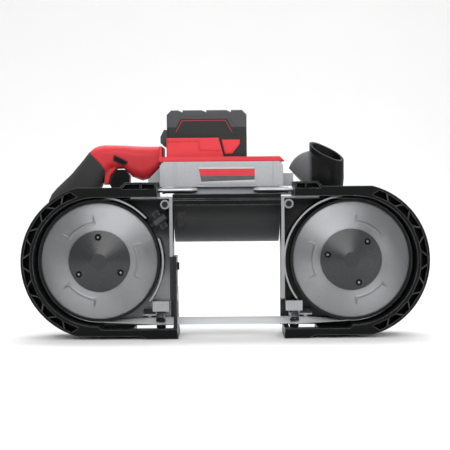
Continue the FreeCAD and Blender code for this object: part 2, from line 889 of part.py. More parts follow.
def work_rest():
    low_y = front_y + rest_setback
    far_x = rest_x + rest_thickness
    upper = corner_box((rest_x, low_y, rest_fork), (far_x, low_y + rest_upper_depth, rest_top))
    front_prong = corner_box((rest_x, low_y, rest_bottom), (far_x, low_y + rest_front_prong, rest_fork))
    back_y_low = front_y + rest_back_setback - rest_back_prong
    back_prong = corner_box((rest_x, back_y_low, rest_bottom),
                            (far_x, front_y + rest_back_setback, rest_fork + rest_back_prong))
    slot_radius = rest_screw_radius + clear_gap
    slot = corner_box((rest_x - overrun, rest_screw_y - slot_radius, rest_slot_low),
                      (far_x + overrun, rest_screw_y + slot_radius, rest_slot_high))
    return union([upper, front_prong, back_prong]).cut(slot)


def rest_screw():
    head_x = rest_x + rest_thickness + clear_gap
    shank = rod_x(rest_screw_y, rest_screw_height, rest_screw_radius, head_x - rest_screw_shank, head_x)
    head = rod_x(rest_screw_y, rest_screw_height, rest_screw_head_radius, head_x, head_x + rest_screw_head)
    return union([shank, head])


def rest_screw_hole():
    return rod_x(rest_screw_y, rest_screw_height, rest_screw_radius + seat_gap,
                 rest_x + rest_thickness - rest_screw_shank, rest_x)


def brush_point(radius, aside):
    x, z = polar(radius, brush_angle)
    dx, dz = polar(aside, brush_angle + full_turn / 4)
    return V(x + dx, front_y + brush_setback, z + dz)


brush_start = blade_radius + blade_thickness / 2 + brush_gap
brush_end = brush_start + brush_tuft_length + brush_holder_length


def wheel_brush():
    return at_wheel(rod(brush_point(brush_start, 0), brush_point(brush_start + brush_tuft_length, 0),
                        brush_tuft_radius), rear)


def brush_strap_middle():
    return brush_start + brush_tuft_length + brush_holder_length / 2


def brush_screw_spots():
    offset = brush_strap_half_length - brush_screw_inset
    return [brush_point(brush_strap_middle(), sign * offset) for sign in (-1, 1)]


def brush_holder():
    barrel = rod(brush_point(brush_start + brush_tuft_length, 0), brush_point(brush_end, 0),
                 brush_holder_radius)
    middle = brush_strap_middle()
    corners = []
    for along, aside in ((-1, -1), (1, -1), (1, 1), (-1, 1)):
        point = brush_point(middle + along * brush_strap_width / 2, aside * brush_strap_half_length)
        corners.append((point.x, point.z))
    strap_y = front_y + brush_setback
    body = union([barrel, slab(corners, strap_y, strap_y + brush_strap)])
    holes = [rod_y(spot.x, spot.z, brush_screw_shank_radius + seat_gap, strap_y - overrun,
                   strap_y + brush_strap + overrun) for spot in brush_screw_spots()]
    return at_wheel(body.cut(holes), rear)


def brush_screws():
    screws = []
    for spot in brush_screw_spots():
        screws.append(socket_screw(spot.x, spot.z, front_y + brush_setback, brush_screw_head_radius,
                                   brush_screw_head, brush_screw_socket, brush_screw_shank_radius,
                                   brush_screw_shank))
    return at_wheel(group(screws), rear)


def brush_bosses():
    strap_back = front_y + brush_setback + brush_strap
    bosses = []
    for spot in brush_screw_spots():
        boss = rod_y(spot.x, spot.z, brush_screw_inset, strap_back, web_front_y)
        bosses.append(boss.cut(rod_y(spot.x, spot.z, brush_screw_shank_radius + seat_gap,
                                     strap_back - overrun, strap_back + brush_screw_shank)))
    return [at_wheel(boss, rear) for boss in bosses]


# Motor cover, motor housing and upper blade cover



def motor_bay():
    return rod_x(motor_y, motor_height, motor_bay_radius, throat_rear_x + motor_bay_wall,
                 throat_front_x - motor_bay_wall)


def lens_box(gap):
    low = (lens_rear_x - gap, web_front_y - overrun, lens_low_height - gap)
    high = (lens_rear_x + lens_length + gap, web_front_y + lens_depth, lens_high_height + gap)
    return corner_box(low, high)


def motor_cover():
    x = throat_rear_x + seat_gap
    low_front = V(x, web_front_y, motor_height)
    low_back = V(x, back_y, motor_height)
    high_front = V(x, web_front_y, split_height)
    high_back = V(x, back_y, split_height)
    belly = Part.Arc(low_front, V(x, motor_y, belly_height), low_back).toShape()
    edges = [belly, Part.makeLine(low_back, high_back), Part.makeLine(high_back, high_front),
             Part.makeLine(high_front, low_front)]
    body = Part.Face(Part.Wire(edges)).extrude(V(throat_front_x - throat_rear_x - 2 * seat_gap, 0, 0))
    return body.cut([motor_bay(), lens_box(0)])


def light_lens():
    return lens_box(0).common(corner_box((lens_rear_x, web_front_y, lens_low_height),
                                         (lens_rear_x + lens_length, back_y, lens_high_height)))


def plate_outline(inset):
    return [(plate_rear_x + inset, plate_high_height - inset),
            (plate_front_x - inset, plate_high_height - inset),
            (plate_front_x - inset, plate_low_height + inset),
            (plate_rear_x + plate_slant + inset, plate_low_height + inset)]


def panel_grooves():
    face_y = front_y + housing_setback
    grooves = []
    for inset in panel_groove_insets:
        x = housing_rear_x + inset if inset > 0 else housing_front_x + inset
        grooves.append(corner_box((x, face_y - overrun, housing_front_height - overrun),
                                  (x + panel_groove, face_y + panel_groove_depth, housing_top + overrun)))
    return grooves


def housing_vents():
    vents = []
    for index in range(vent_count):
        x = throat_x + (index - (vent_count - 1) / 2) * vent_pitch
        low = housing_front_height + vent_low
        vents.append(corner_box((x - vent_width / 2, back_y - housing_wall - overrun, low),
                                (x + vent_width / 2, back_y + overrun, low + vent_height)))
    return vents


def motor_housing():
    face_y = front_y + housing_setback
    upper = slab([(housing_rear_x, housing_front_height), (housing_rear_x, housing_top - housing_chamfer),
                  (housing_rear_x + housing_chamfer, housing_top),
                  (housing_front_x - housing_chamfer, housing_top),
                  (housing_front_x, housing_top - housing_chamfer),
                  (housing_front_x, housing_front_height)],
                 face_y, back_y)
    lower = corner_box((throat_rear_x + seat_gap, web_back_y + seat_gap, split_height),
                       (throat_front_x - seat_gap, back_y, housing_front_height))
    knee = housing_rear_x - flare_length
    flare = slab([(housing_rear_x, flare_foot), (knee, flare_foot), (knee, flare_knee),
                  (housing_rear_x, flare_top)],
                 front_y + flare_setback, back_y - housing_chamfer)
    frame = slab(plate_outline(-plate_frame), face_y - plate_frame_rise, face_y)
    frame = frame.cut(slab(plate_outline(0), face_y - plate_frame_rise - overrun, face_y))
    hollow = corner_box((housing_rear_x + housing_wall, face_y + housing_wall,
                         housing_front_height + housing_wall),
                        (housing_front_x - housing_wall, back_y - housing_wall, housing_top - housing_wall))
    passage = corner_box((throat_rear_x + motor_bay_wall, web_back_y + seat_gap + housing_wall,
                          split_height - overrun),
                         (throat_front_x - motor_bay_wall, back_y - housing_wall,
                          housing_top - 2 * housing_wall))
    openings = [motor_bay(), hollow, passage] + panel_grooves() + housing_vents()
    return union([upper, lower, flare, frame]).cut(openings)


def name_plate():
    face_y = front_y + housing_setback
    return slab(plate_outline(seat_gap), face_y - plate_thickness, face_y)


def blade_cover():
    face_y = front_y + cover_setback
    rear_x = throat_rear_x + seat_gap
    front_x = throat_front_x - seat_gap
    body = corner_box((rear_x, face_y, cover_low_height),
                      (front_x, face_y + cover_thickness, cover_high_height))
    roof = corner_box((rear_x, face_y, cover_high_height - cover_thickness),
                      (front_x, web_front_y, cover_high_height))
    groove = corner_box((rear_x - overrun, face_y - overrun, cover_groove_height),
                        (front_x + overrun, face_y + cover_thickness / 2,
                         cover_groove_height + cover_groove))
    lip = corner_box((rear_x, web_front_y - cover_lip, spine_top + seat_gap),
                     (front_x, web_front_y, cover_high_height))
    return union([body, roof, lip]).cut(groove)


# Guard pins


def guard_pin(side):
    # A stepped pin along X, drawn on the Y axis: neck in the guard, collar, barrel, tapered tip.
    reach = rear_top_reach if side == rear else front_top_reach
    collar_start = pin_neck
    barrel_start = collar_start + pin_collar
    barrel_end = barrel_start + pin_length
    body = turned([(0, -pin_socket), (pin_neck_radius, -pin_socket), (pin_neck_radius, collar_start),
                   (pin_collar_radius, collar_start), (pin_collar_radius, barrel_start),
                   (pin_radius, barrel_start), (pin_radius, barrel_end),
                   (pin_neck_radius, barrel_end + pin_tip), (0, barrel_end + pin_tip)])
    body.rotate(V(0, 0, 0), V(0, 0, 1), side * full_turn / 4)
    body.translate(V(side * (wheel_offset - reach),
                     front_y + housing_setback - pin_collar_radius - seat_gap,
                     pin_height))
    return body


def guard_pin_hole(side):
    reach = rear_top_reach if side == rear else front_top_reach
    end_x = side * (wheel_offset - reach)
    return rod(V(end_x + side * pin_socket, front_y + housing_setback - pin_collar_radius - seat_gap,
                 pin_height),
               V(end_x - side * overrun, front_y + housing_setback - pin_collar_radius - seat_gap,
                 pin_height),
               pin_neck_radius + running_gap)


# Drive train

spur_width = spur_width_share * overall_depth
bevel_module = bevel_module_share * overall_depth
bevel_back = bevel_back_share * overall_depth
case_rear_wall = case_rear_wall_share * overall_depth
spur_module = spur_module_share * wheel_axis_height
spur_distance = spur_module * (drive_gear_teeth + spur_pinion_teeth) / 2
middle_x = -wheel_offset + math.sqrt(spur_distance ** 2 - (motor_height - wheel_axis_height) ** 2)
spur_front_y = front_y + spur_setback
spur_back_y = spur_front_y + spur_width
drive_gear_radius = spur_module * drive_gear_teeth / 2
bevel_gear_radius = bevel_module * bevel_gear_teeth / 2
bevel_pinion_radius = bevel_module * bevel_pinion_teeth / 2
bevel_back_y = motor_y - bevel_pinion_radius - bevel_back - bevel_module * dedendum_share
case_inner_y = spur_back_y + case_gap
case_back_y = case_inner_y + case_rear_wall


def spur_gear(teeth, x, z, turn):
    pitch = full_turn / teeth
    root = spur_module * (teeth / 2 - dedendum_share)
    tip = spur_module * (teeth / 2 + addendum_share)
    corners = []
    for index in range(teeth):
        middle = turn + index * pitch
        for radius, share in ((root, -tooth_root_share / 2), (tip, -tooth_tip_share / 2),
                              (tip, tooth_tip_share / 2), (root, tooth_root_share / 2)):
            dx, dz = polar(radius, middle + share * pitch)
            corners.append((x + dx, z + dz))
    return slab(corners, spur_front_y, spur_back_y)


def bevel_gear(teeth, mate_teeth, turn):
    # The cone's point is at the origin and the gear lies along +Z.
    radius = bevel_module * teeth / 2
    height = bevel_module * mate_teeth / 2
    slant = math.hypot(radius, height)
    pitch = full_turn / teeth

    def on_tooth(offset, share, scale, middle):
        distance = (radius + offset * height / slant) * scale
        x, y = polar(distance, middle + share * pitch)
        return V(x, y, (height - offset * radius / slant) * scale)

    root = -bevel_module * dedendum_share
    sink = root - bevel_module * tooth_sink_share
    tip = bevel_module * addendum_share
    solids = []
    base = on_tooth(root, 0, 1, 0)
    small = on_tooth(root, 0, bevel_small_share, 0)
    profile = polygon([V(0, 0, small.z), small, base, V(base.x, 0, base.z + bevel_back),
                       V(0, 0, base.z + bevel_back)])
    solids.append(profile.revolve(V(0, 0, 0), V(0, 0, 1), full_turn))
    for index in range(teeth):
        middle = turn + index * pitch
        ends = []
        for scale in (bevel_small_share, 1):
            quad = [on_tooth(sink, -tooth_root_share / 2, scale, middle),
                    on_tooth(tip, -tooth_tip_share / 2, scale, middle),
                    on_tooth(tip, tooth_tip_share / 2, scale, middle),
                    on_tooth(sink, tooth_root_share / 2, scale, middle)]
            ends.append(Part.makePolygon(quad + quad[:1]))
        solids.append(Part.makeLoft(ends, True, True))
    return solids[0].multiFuse(solids[1:])


def mesh_angle():
    return math.degrees(math.atan2(motor_height - wheel_axis_height, middle_x + wheel_offset))


def drive_gear():
    body = spur_gear(drive_gear_teeth, -wheel_offset, wheel_axis_height, mesh_angle())
    return body.cut(rod_y(-wheel_offset, wheel_axis_height, shaft_radius + running_gap,
                          spur_front_y - overrun, spur_back_y + overrun))


def spur_pinion():
    half_pitch = full_turn / spur_pinion_teeth / 2
    return spur_gear(spur_pinion_teeth, middle_x, motor_height, mesh_angle() + full_turn / 2 + half_pitch)


def middle_gear():
    half_pitch = full_turn / bevel_gear_teeth / 2
    body = bevel_gear(bevel_gear_teeth, bevel_pinion_teeth, half_pitch)
    body.rotate(V(0, 0, 0), V(1, 0, 0), full_turn / 4)
    body.translate(V(middle_x, motor_y, motor_height))
    return body.cut(rod_y(middle_x, motor_height, middle_shaft_radius + running_gap, web_front_y, back_y))


def motor_pinion():
    body = bevel_gear(bevel_pinion_teeth, bevel_gear_teeth, -full_turn / 4)
    body.rotate(V(0, 0, 0), V(0, 1, 0), full_turn / 4)
    body.translate(V(middle_x, motor_y, motor_height))
    return body


def bearing(x, z, outer, bore, y_low, y_high):
    ring = rod_y(x, z, outer, y_low, y_high)
    return ring.cut(rod_y(x, z, bore + running_gap, y_low - overrun, y_high + overrun))


def drive_shaft():
    x, z = -wheel_offset, wheel_axis_height
    solids = [rod_y(x, z, shaft_radius, wheel_front_y + idler_axle_front, case_back_y - seat_gap)]
    solids.append(rod_y(x, z, collar_radius, wheel_front_y + hub_length + seat_gap,
                        web_front_y - collar_gap))
    solids.append(rod_y(x, z, collar_radius, web_back_y + collar_gap, spur_front_y - seat_gap))
    return union(solids)


def drive_bearings():
    return group([bearing(-wheel_offset, wheel_axis_height, web_bearing_radius, shaft_radius, web_front_y,
                          web_back_y),
                  bearing(-wheel_offset, wheel_axis_height, web_bearing_radius, shaft_radius,
                          case_inner_y, case_back_y)])


def middle_shaft():
    end = bevel_back_y + bevel_back
    shaft = rod_y(middle_x, motor_height, middle_shaft_radius, web_front_y, end)
    collar = rod_y(middle_x, motor_height, middle_bearing_radius - collar_gap, web_back_y + collar_gap,
                   spur_front_y - seat_gap)
    return union([shaft, collar, spur_pinion()])


def middle_bearings():
    return group([bearing(middle_x, motor_height, middle_bearing_radius, middle_shaft_radius, web_front_y,
                          web_back_y),
                  bearing(middle_x, motor_height, middle_bearing_radius, middle_shaft_radius,
                          case_inner_y, case_back_y)])


def case_lobes(extra, y_low, y_high):
    big = drive_gear_radius + spur_module + case_gap + extra
    small = bevel_gear_radius + bevel_module + case_gap + extra
    return [rod_y(-wheel_offset, wheel_axis_height, big, y_low, y_high),
            rod_y(middle_x, motor_height, small, y_low, y_high)]


def gear_case():
    low_y = web_back_y + seat_gap
    bevel_end = case_back_y + case_bevel_depth
    solids = case_lobes(case_wall, low_y, case_back_y)
    solids.append(rod_y(middle_x, motor_height, bevel_gear_radius + bevel_module + case_gap + case_wall,
                        case_back_y - overrun, bevel_end))
    solids.append(rod_x(motor_y, motor_height, case_arm_radius, middle_x, throat_rear_x))
    body = union(solids)
    cutters = case_lobes(0, low_y - overrun, case_inner_y)
    cutters.append(rod_y(middle_x, motor_height, bevel_gear_radius + bevel_module + case_gap,
                         case_back_y, bevel_end - case_wall))
    cutters.append(rod_x(motor_y, motor_height, case_arm_bore, middle_x, throat_rear_x + overrun))
    cutters.append(rod_y(-wheel_offset, wheel_axis_height, web_bearing_radius + seat_gap,
                         case_inner_y - overrun, case_back_y))
    cutters.append(rod_y(middle_x, motor_height, middle_bearing_radius + seat_gap,
                         case_inner_y - overrun, case_back_y + overrun))
    return body.cut(cutters)


# Motor


def motor_stator():
    ring = rod_x(motor_y, motor_height, stator_radius, throat_x - stator_length / 2,
                 throat_x + stator_length / 2)
    return ring.cut(rod_x(motor_y, motor_height, stator_bore, throat_x - stator_length,
                          throat_x + stator_length))


def motor_rotor():
    body = rod_x(motor_y, motor_height, stator_bore - rotor_gap, throat_x - rotor_length / 2,
                 throat_x + rotor_length / 2)
    shaft = rod_x(motor_y, motor_height, rotor_shaft_radius, middle_x + bevel_gear_radius,
                  throat_front_x - seat_gap)
    return union([body, shaft, motor_pinion()])


def motor_bearings():
    rings = []
    for low in (throat_rear_x + seat_gap, throat_front_x - motor_bay_wall):
        high = low + motor_bay_wall - seat_gap
        ring = rod_x(motor_y, motor_height, motor_bearing_radius, low, high)
        rings.append(ring.cut(rod_x(motor_y, motor_height, rotor_shaft_radius + running_gap,
                                    low - overrun, high + overrun)))
    return group(rings)


def motor_bearing_seat():
    return rod_x(motor_y, motor_height, motor_bearing_radius + seat_gap, throat_rear_x - overrun,
                 throat_front_x + overrun)


# Blade tension

lever_x = wheel_offset - lever_inset
lever_z = wheel_axis_height - lever_drop
cam_offset = slide_travel / 2
slide_low_y = web_back_y + clear_gap
slide_high_y = slide_low_y + slide_thickness
window_half_width = cam_radius + cam_slack
window_half_height = cam_radius + cam_offset + cam_slack
slide_bottom_z = lever_z - window_half_height - slide_wall
slide_top_z = wheel_axis_height + slide_top
slide_rear_x = lever_x + cam_offset - window_half_width - slide_wall
slide_front_x = lever_x + cam_offset + window_half_width + slide_wall


def tension_slide():
    body = corner_box((slide_rear_x, slide_low_y, slide_bottom_z),
                      (slide_front_x, slide_high_y, slide_top_z))
    window = corner_box((slide_rear_x + slide_wall, slide_low_y - overrun, lever_z - window_half_height),
                        (slide_front_x - slide_wall, slide_high_y + overrun, lever_z + window_half_height))
    bore = rod_y(wheel_offset, wheel_axis_height, idler_axle_radius + running_gap, slide_low_y - overrun,
                 slide_high_y + overrun)
    return body.cut([window, bore])


def idler_axle():
    axle = rod_y(wheel_offset, wheel_axis_height, idler_axle_radius, wheel_front_y + idler_axle_front,
                 slide_high_y)
    collar = rod_y(wheel_offset, wheel_axis_height, collar_radius, wheel_front_y + hub_length + collar_gap,
                   web_front_y - collar_gap)
    return union([axle, collar])


def idler_bearing():
    return bearing(wheel_offset, wheel_axis_height, idler_bearing_radius, idler_axle_radius,
                   wheel_front_y, wheel_front_y + hub_length)


def slide_rails():
    rails = []
    lip_low = slide_high_y + clear_gap
    for near, away in ((slide_top_z, 1), (slide_bottom_z, -1)):
        gap = near + away * clear_gap
        far = gap + away * rail_width
        inner = near - away * rail_lip_cover
        low_x = slide_rear_x - slide_travel / 2
        high_x = slide_front_x
        wall = corner_box((low_x, web_back_y, min(gap, far)), (high_x, lip_low, max(gap, far)))
        lip = corner_box((low_x, lip_low, min(inner, far)), (high_x, lip_low + rail_lip, max(inner, far)))
        rails.append(union([wall, lip]))
    return rails


def axle_slot():
    half = idler_axle_radius + clear_gap
    low_y = web_front_y - overrun
    high_y = web_back_y + overrun
    ends = [rod_y(wheel_offset - travel, wheel_axis_height, half, low_y, high_y) for travel in (0,
                                                                                                slide_travel)]
    middle = corner_box((wheel_offset - slide_travel, low_y, wheel_axis_height - half),
                        (wheel_offset, high_y, wheel_axis_height + half))
    return union(ends + [middle])


def lever_pin():
    return rod_y(lever_x, lever_z, lever_pin_radius, web_front_y, front_y + lever_setback + lever_thickness)


def lever_pin_hole():
    return rod_y(lever_x, lever_z, lever_pin_radius + seat_gap, web_front_y - overrun, web_back_y + overrun)


def tension_lever():
    arm_low = front_y + lever_setback
    arm_high = arm_low + lever_thickness
    cam = rod_y(lever_x + cam_offset, lever_z, cam_radius, slide_low_y, slide_high_y)
    neck = rod_y(lever_x, lever_z, lever_neck_radius, slide_high_y - overrun, arm_low + overrun)
    boss = rod_y(lever_x, lever_z, lever_boss_radius, arm_low, arm_high)
    tip_x = lever_x + lever_length
    arm = slab([(lever_x, lever_z - lever_width / 2), (tip_x, lever_z - lever_tip_width / 2),
                (tip_x, lever_z + lever_tip_width / 2), (lever_x, lever_z + lever_width / 2)],
               arm_low, arm_high)
    knob = rod_y(tip_x, lever_z, lever_knob_radius, arm_low, arm_high + lever_lip)
    bore = rod_y(lever_x, lever_z, lever_pin_radius + running_gap, slide_low_y - overrun,
                 arm_high + overrun)
    return union([cam, neck, boss, arm, knob]).cut(bore)


# Rear handle and housing

handle_front_x = housing_rear_x - handle_over
handle_base = housing_top - handle_drop
handle_low_y = motor_y - handle_half_width
handle_high_y = motor_y + handle_half_width
roof_low = housing_top + seat_gap
roof_top = roof_low + roof_thickness
bay_low_y = motor_y - battery_half_width - clear_gap
bay_high_y = motor_y + battery_half_width + clear_gap
receptacle_rear_x = housing_rear_x + receptacle_rear_inset
receptacle_front_x = receptacle_rear_x + receptacle_length
receptacle_top = roof_top + receptacle_rise


def on_handle(shares, dx=0, dz=0):
    return [(handle_front_x - along * handle_length + dx, handle_base + up * handle_height + dz)
            for along, up in shares]


def handle_section(outer, inner, half_depth):
    # A rectangle with round corners, across the handle and along Y.
    (outer_x, outer_z), (inner_x, inner_z) = on_handle((outer, inner))
    centre = V((outer_x + inner_x) / 2, motor_y, (outer_z + inner_z) / 2)
    across = V(outer_x - inner_x, 0, outer_z - inner_z) / 2
    half = across.Length
    across.normalize()
    radius = handle_corner_share * min(half, half_depth)

    def spot(a, b):
        return centre + across * a + V(0, b, 0)

    edges = []
    for turn in range(4):
        sign_a = 1 if turn in (0, 3) else -1
        sign_b = 1 if turn in (0, 1) else -1
        near_a, near_b = sign_a * (half - radius), sign_b * (half_depth - radius)
        corner = [spot(near_a + sign_a * radius, near_b), spot(near_a, near_b + sign_b * radius)]
        bulge = radius * math.sqrt(1 / 2)
        middle = spot(near_a + sign_a * bulge, near_b + sign_b * bulge)
        if turn in (1, 3):
            corner.reverse()
        if edges:
            edges.append(Part.makeLine(edges[-1].Vertexes[-1].Point, corner[0]))
        edges.append(Part.Arc(corner[0], middle, corner[1]).toShape())
    edges.append(Part.makeLine(edges[-1].Vertexes[-1].Point, edges[0].Vertexes[0].Point))
    return Part.Wire(edges)


def handle_bar():
    wires = []
    for outer, inner, share in handle_sections:
        wires.append(handle_section(outer, inner, share * handle_half_width))
    return Part.makeLoft(wires, True, True)


def rubber_side():
    return slab(on_handle(grip_edge_shares), front_y, back_y)


def grip():
    body = handle_bar().common(rubber_side())
    return body.cut(case_lobes(case_wall + seat_gap, web_back_y, case_back_y + seat_gap))


def switch_room(gap):
    low, high = on_handle((switch_shares[0],))[0], on_handle((switch_shares[2],))[0]
    return corner_box((low[0] - gap, motor_y - switch_half_width - gap, low[1] - gap),
                      (high[0] + gap, motor_y + switch_half_width + gap, high[1] + gap))


def trigger():
    outline = on_handle(trigger_rear_shares + trigger_front_shares)
    return slab(outline, motor_y - trigger_half_width, motor_y + trigger_half_width)


def trigger_room():
    back = on_handle(trigger_rear_shares, -trigger_travel - clear_gap, clear_gap)
    ahead = on_handle(trigger_front_shares, clear_gap, clear_gap)
    half = trigger_half_width + clear_gap
    return slab(back + ahead, motor_y - half, motor_y + half)


def lock_button():
    return slab(on_handle(button_shares), handle_low_y - button_proud, handle_high_y - button_proud)


def button_room():
    grown = []
    middle_x = sum(along for along, up in button_shares) / len(button_shares)
    middle_z = sum(up for along, up in button_shares) / len(button_shares)
    for along, up in button_shares:
        spot = on_handle(((along, up),))[0]
        middle = on_handle(((middle_x, middle_z),))[0]
        away = V(spot[0] - middle[0], 0, spot[1] - middle[1])
        far = V(spot[0], 0, spot[1]) + away * (2 * clear_gap / away.Length)
        grown.append((far.x, far.z))
    return slab(grown, handle_low_y - overrun, handle_high_y + overrun)


def wall_reliefs():
    # The lower part of each side wall of the receptacle lies back behind a stepped edge.
    rise = receptacle_top - roof_top
    outline = []
    for along, up in relief_shares:
        outline.append((receptacle_rear_x + along * receptacle_length, roof_top + up * rise))
    low_y = bay_low_y - receptacle_wall
    high_y = bay_high_y + receptacle_wall
    return [slab(outline, low_y - overrun, low_y + relief_depth),
            slab(outline, high_y - relief_depth, high_y + overrun)]


def housing_body():
    hook = slab(on_handle(hook_shares), motor_y - hook_half_width, motor_y + hook_half_width)
    handle = union([handle_bar(), hook]).cut(rubber_side())
    front_x = housing_front_x + roof_front_over
    roof_y = front_y + roof_setback
    roof = slab([(handle_front_x, roof_low), (front_x, roof_low), (front_x - roof_slant, roof_top),
                 (handle_front_x, roof_top)], roof_y, back_y)
    walls = []
    for low_y, high_y in ((bay_low_y - receptacle_wall, bay_low_y),
                          (bay_high_y, bay_high_y + receptacle_wall)):
        walls.append(slab([(receptacle_rear_x, roof_top), (receptacle_front_x + receptacle_slant, roof_top),
                           (receptacle_front_x, receptacle_top), (receptacle_rear_x, receptacle_top)],
                          low_y, high_y))
    stop = corner_box((handle_front_x, bay_low_y - receptacle_wall, roof_top),
                      (handle_front_x + receptacle_wall, bay_high_y + receptacle_wall,
                       roof_top + receptacle_stop))
    body = union([handle, roof, stop] + walls)
    return body.cut([trigger_room(), button_room(), switch_room(seat_gap)] + wall_reliefs())


def housing_half(side):
    far = 2 * handle_length
    if side == front:
        low_y, high_y = front_y, motor_y
    else:
        low_y, high_y = motor_y, back_y
    return housing_body().common(corner_box((-far, low_y, 0), (far, high_y, 2 * housing_top)))


def switch():
    return switch_room(0)


def terminal_block():
    body = corner_box((receptacle_rear_x, motor_y - terminal_half_width, roof_top),
                      (receptacle_rear_x + terminal_length, motor_y + terminal_half_width,
                       roof_top + terminal_rise))
    step = 2 * terminal_half_width / terminal_slots
    cutters = []
    for index in range(terminal_slots):
        middle = motor_y - terminal_half_width + (index + 1 / 2) * step
        cutters.append(corner_box((receptacle_rear_x + terminal_slot, middle - terminal_slot / 2,
                                   roof_top + terminal_slot),
                                  (receptacle_rear_x + terminal_length + overrun,
                                   middle + terminal_slot / 2,
                                   roof_top + terminal_rise + overrun)))
    return body.cut(cutters)


# Battery

battery_rear_x = receptacle_rear_x + clear_gap
battery_front_x = battery_rear_x + battery_length
battery_low = receptacle_top + clear_gap
battery_top = battery_low + battery_shell
battery_base = roof_top + clear_gap
core_base = roof_top + battery_core_lift
battery_low_y = motor_y - battery_half_width
battery_high_y = motor_y + battery_half_width


def on_battery(shares, low, high):
    return [(battery_rear_x + along * battery_length, low + up * (high - low)) for along, up in shares]


def battery_shell_body():
    outline = [(battery_rear_x, battery_low), (battery_front_x, battery_low),
               (battery_front_x, battery_top - battery_edge),
               (battery_front_x - battery_edge, battery_top), (battery_rear_x + battery_edge, battery_top),
               (battery_rear_x, battery_top - battery_edge)]
    shell = slab(outline, battery_low_y, battery_high_y)
    # The rims of both side faces are round, apart from the lower edges.
    rims = []
    for edge in shell.Edges:
        box = edge.BoundBox
        if box.YLength < overrun and box.ZMax > battery_low + overrun:
            rims.append(edge)
    shell = shell.makeFillet(battery_round, rims)
    slant = receptacle_slant + clear_gap + seat_gap
    foot = slab([(receptacle_front_x + slant, battery_base), (battery_front_x, battery_base),
                 (battery_front_x, battery_low), (receptacle_front_x + clear_gap + seat_gap, battery_low)],
                battery_low_y, battery_high_y)
    core = corner_box((battery_rear_x, battery_low_y + battery_core_inset, core_base),
                      (receptacle_front_x + slant, battery_high_y - battery_core_inset, battery_low))
    tail_low = battery_low - battery_tail_drop
    tail_high = battery_low + battery_tail_rise
    tail_x = battery_rear_x - battery_tail
    tail_half = battery_tail / 2
    tail = slab([(battery_rear_x, tail_low), (battery_rear_x, tail_high),
                 (tail_x + tail_half, tail_high), (tail_x, tail_high - battery_tail),
                 (tail_x, tail_low + tail_half), (tail_x + tail_half, tail_low)],
                motor_y - battery_tail_half_width, motor_y + battery_tail_half_width)
    return union([shell, foot, core, tail])


def cell_room():
    return 2 * cell_radius + cell_gap


def cell_centre(along, row):
    middle_x = (battery_rear_x + battery_front_x) / 2
    x = middle_x + (along - (cells_along - 1) / 2) * cell_room()
    z = battery_top - battery_wall - cell_room() / 2 - row * cell_room()
    return x, z


def battery_cells():
    cells = []
    for along in range(cells_along):
        for row in range(cell_rows):
            x, z = cell_centre(along, row)
            cells.append(rod_y(x, z, cell_radius, motor_y - cell_length / 2, motor_y + cell_length / 2))
    return group(cells)


def battery_case():
    first_x, top_z = cell_centre(0, 0)
    last_x, low_z = cell_centre(cells_along - 1, cell_rows - 1)
    half = cell_room() / 2
    cutters = [corner_box((first_x - half, motor_y - cell_length / 2, low_z - half),
                          (last_x + half, motor_y + cell_length / 2, top_z + half))]
    for share in battery_notch_shares:
        x = battery_rear_x + share * battery_length
        cutters.append(slab([(x - battery_notch_length, battery_top + overrun),
                             (x - battery_notch_length, battery_top),
                             (x, battery_top - battery_notch), (x, battery_top + overrun)],
                            battery_low_y - overrun, battery_high_y + overrun))
    panel = on_battery(battery_panel_shares, battery_low, battery_top)
    cutters.append(slab(panel, battery_low_y - overrun, battery_low_y + battery_panel))
    cutters.append(slab(panel, battery_high_y - battery_panel, battery_high_y + overrun))
    depth = latch_thickness - latch_proud + latch_travel + clear_gap
    for low_y, high_y in ((battery_low_y - overrun, battery_low_y + depth),
                          (battery_high_y - depth, battery_high_y + overrun)):
        cutters.append(slab(latch_outline(clear_gap), low_y, high_y))
    return battery_shell_body().cut(cutters)


def latch_outline(gap):
    spots = on_battery(latch_shares, battery_base, battery_low)
    middle_x = sum(x for x, z in spots) / len(spots)
    middle_z = sum(z for x, z in spots) / len(spots)
    grown = []
    for x, z in spots:
        length = math.hypot(x - middle_x, z - middle_z)
        share = 1 + 2 * gap / length
        grown.append((middle_x + (x - middle_x) * share, middle_z + (z - middle_z) * share))
    return grown


def latch(side):
    if side == front:
        low_y = battery_low_y - latch_proud
    else:
        low_y = battery_high_y + latch_proud - latch_thickness
    return slab(latch_outline(0), low_y, low_y + latch_thickness)


# Front handle

horn_x = throat_front_x + horn_x_over
arm_top = spine_top + arm_rise


def oval(z, half_length, half_depth):
    straight = half_length - half_depth
    centre = V(horn_x, motor_y, z)
    edges = []
    for side in (1, -1):
        start = centre + V(side * straight, -side * half_depth, 0)
        finish = centre + V(side * straight, side * half_depth, 0)
        if edges:
            edges.append(Part.makeLine(edges[-1].Vertexes[-1].Point, start))
        edges.append(Part.Arc(start, centre + V(side * half_length, 0, 0), finish).toShape())
    edges.append(Part.makeLine(edges[-1].Vertexes[-1].Point, edges[0].Vertexes[0].Point))
    return Part.Wire(edges)


def horn_cut():
    # What lies above the mouth, whose plane leans to the front and towards the wheel side.
    far = 2 * horn_high
    block = Part.makeBox(2 * far, 2 * far, far, V(-far, -far, 0))
    normal = V(horn_slope_x, -horn_slope_y, 1)
    block.Placement = FreeCAD.Placement(V(horn_x, motor_y, arm_top + horn_middle),
                                        FreeCAD.Rotation(V(0, 0, 1), normal))
    return block


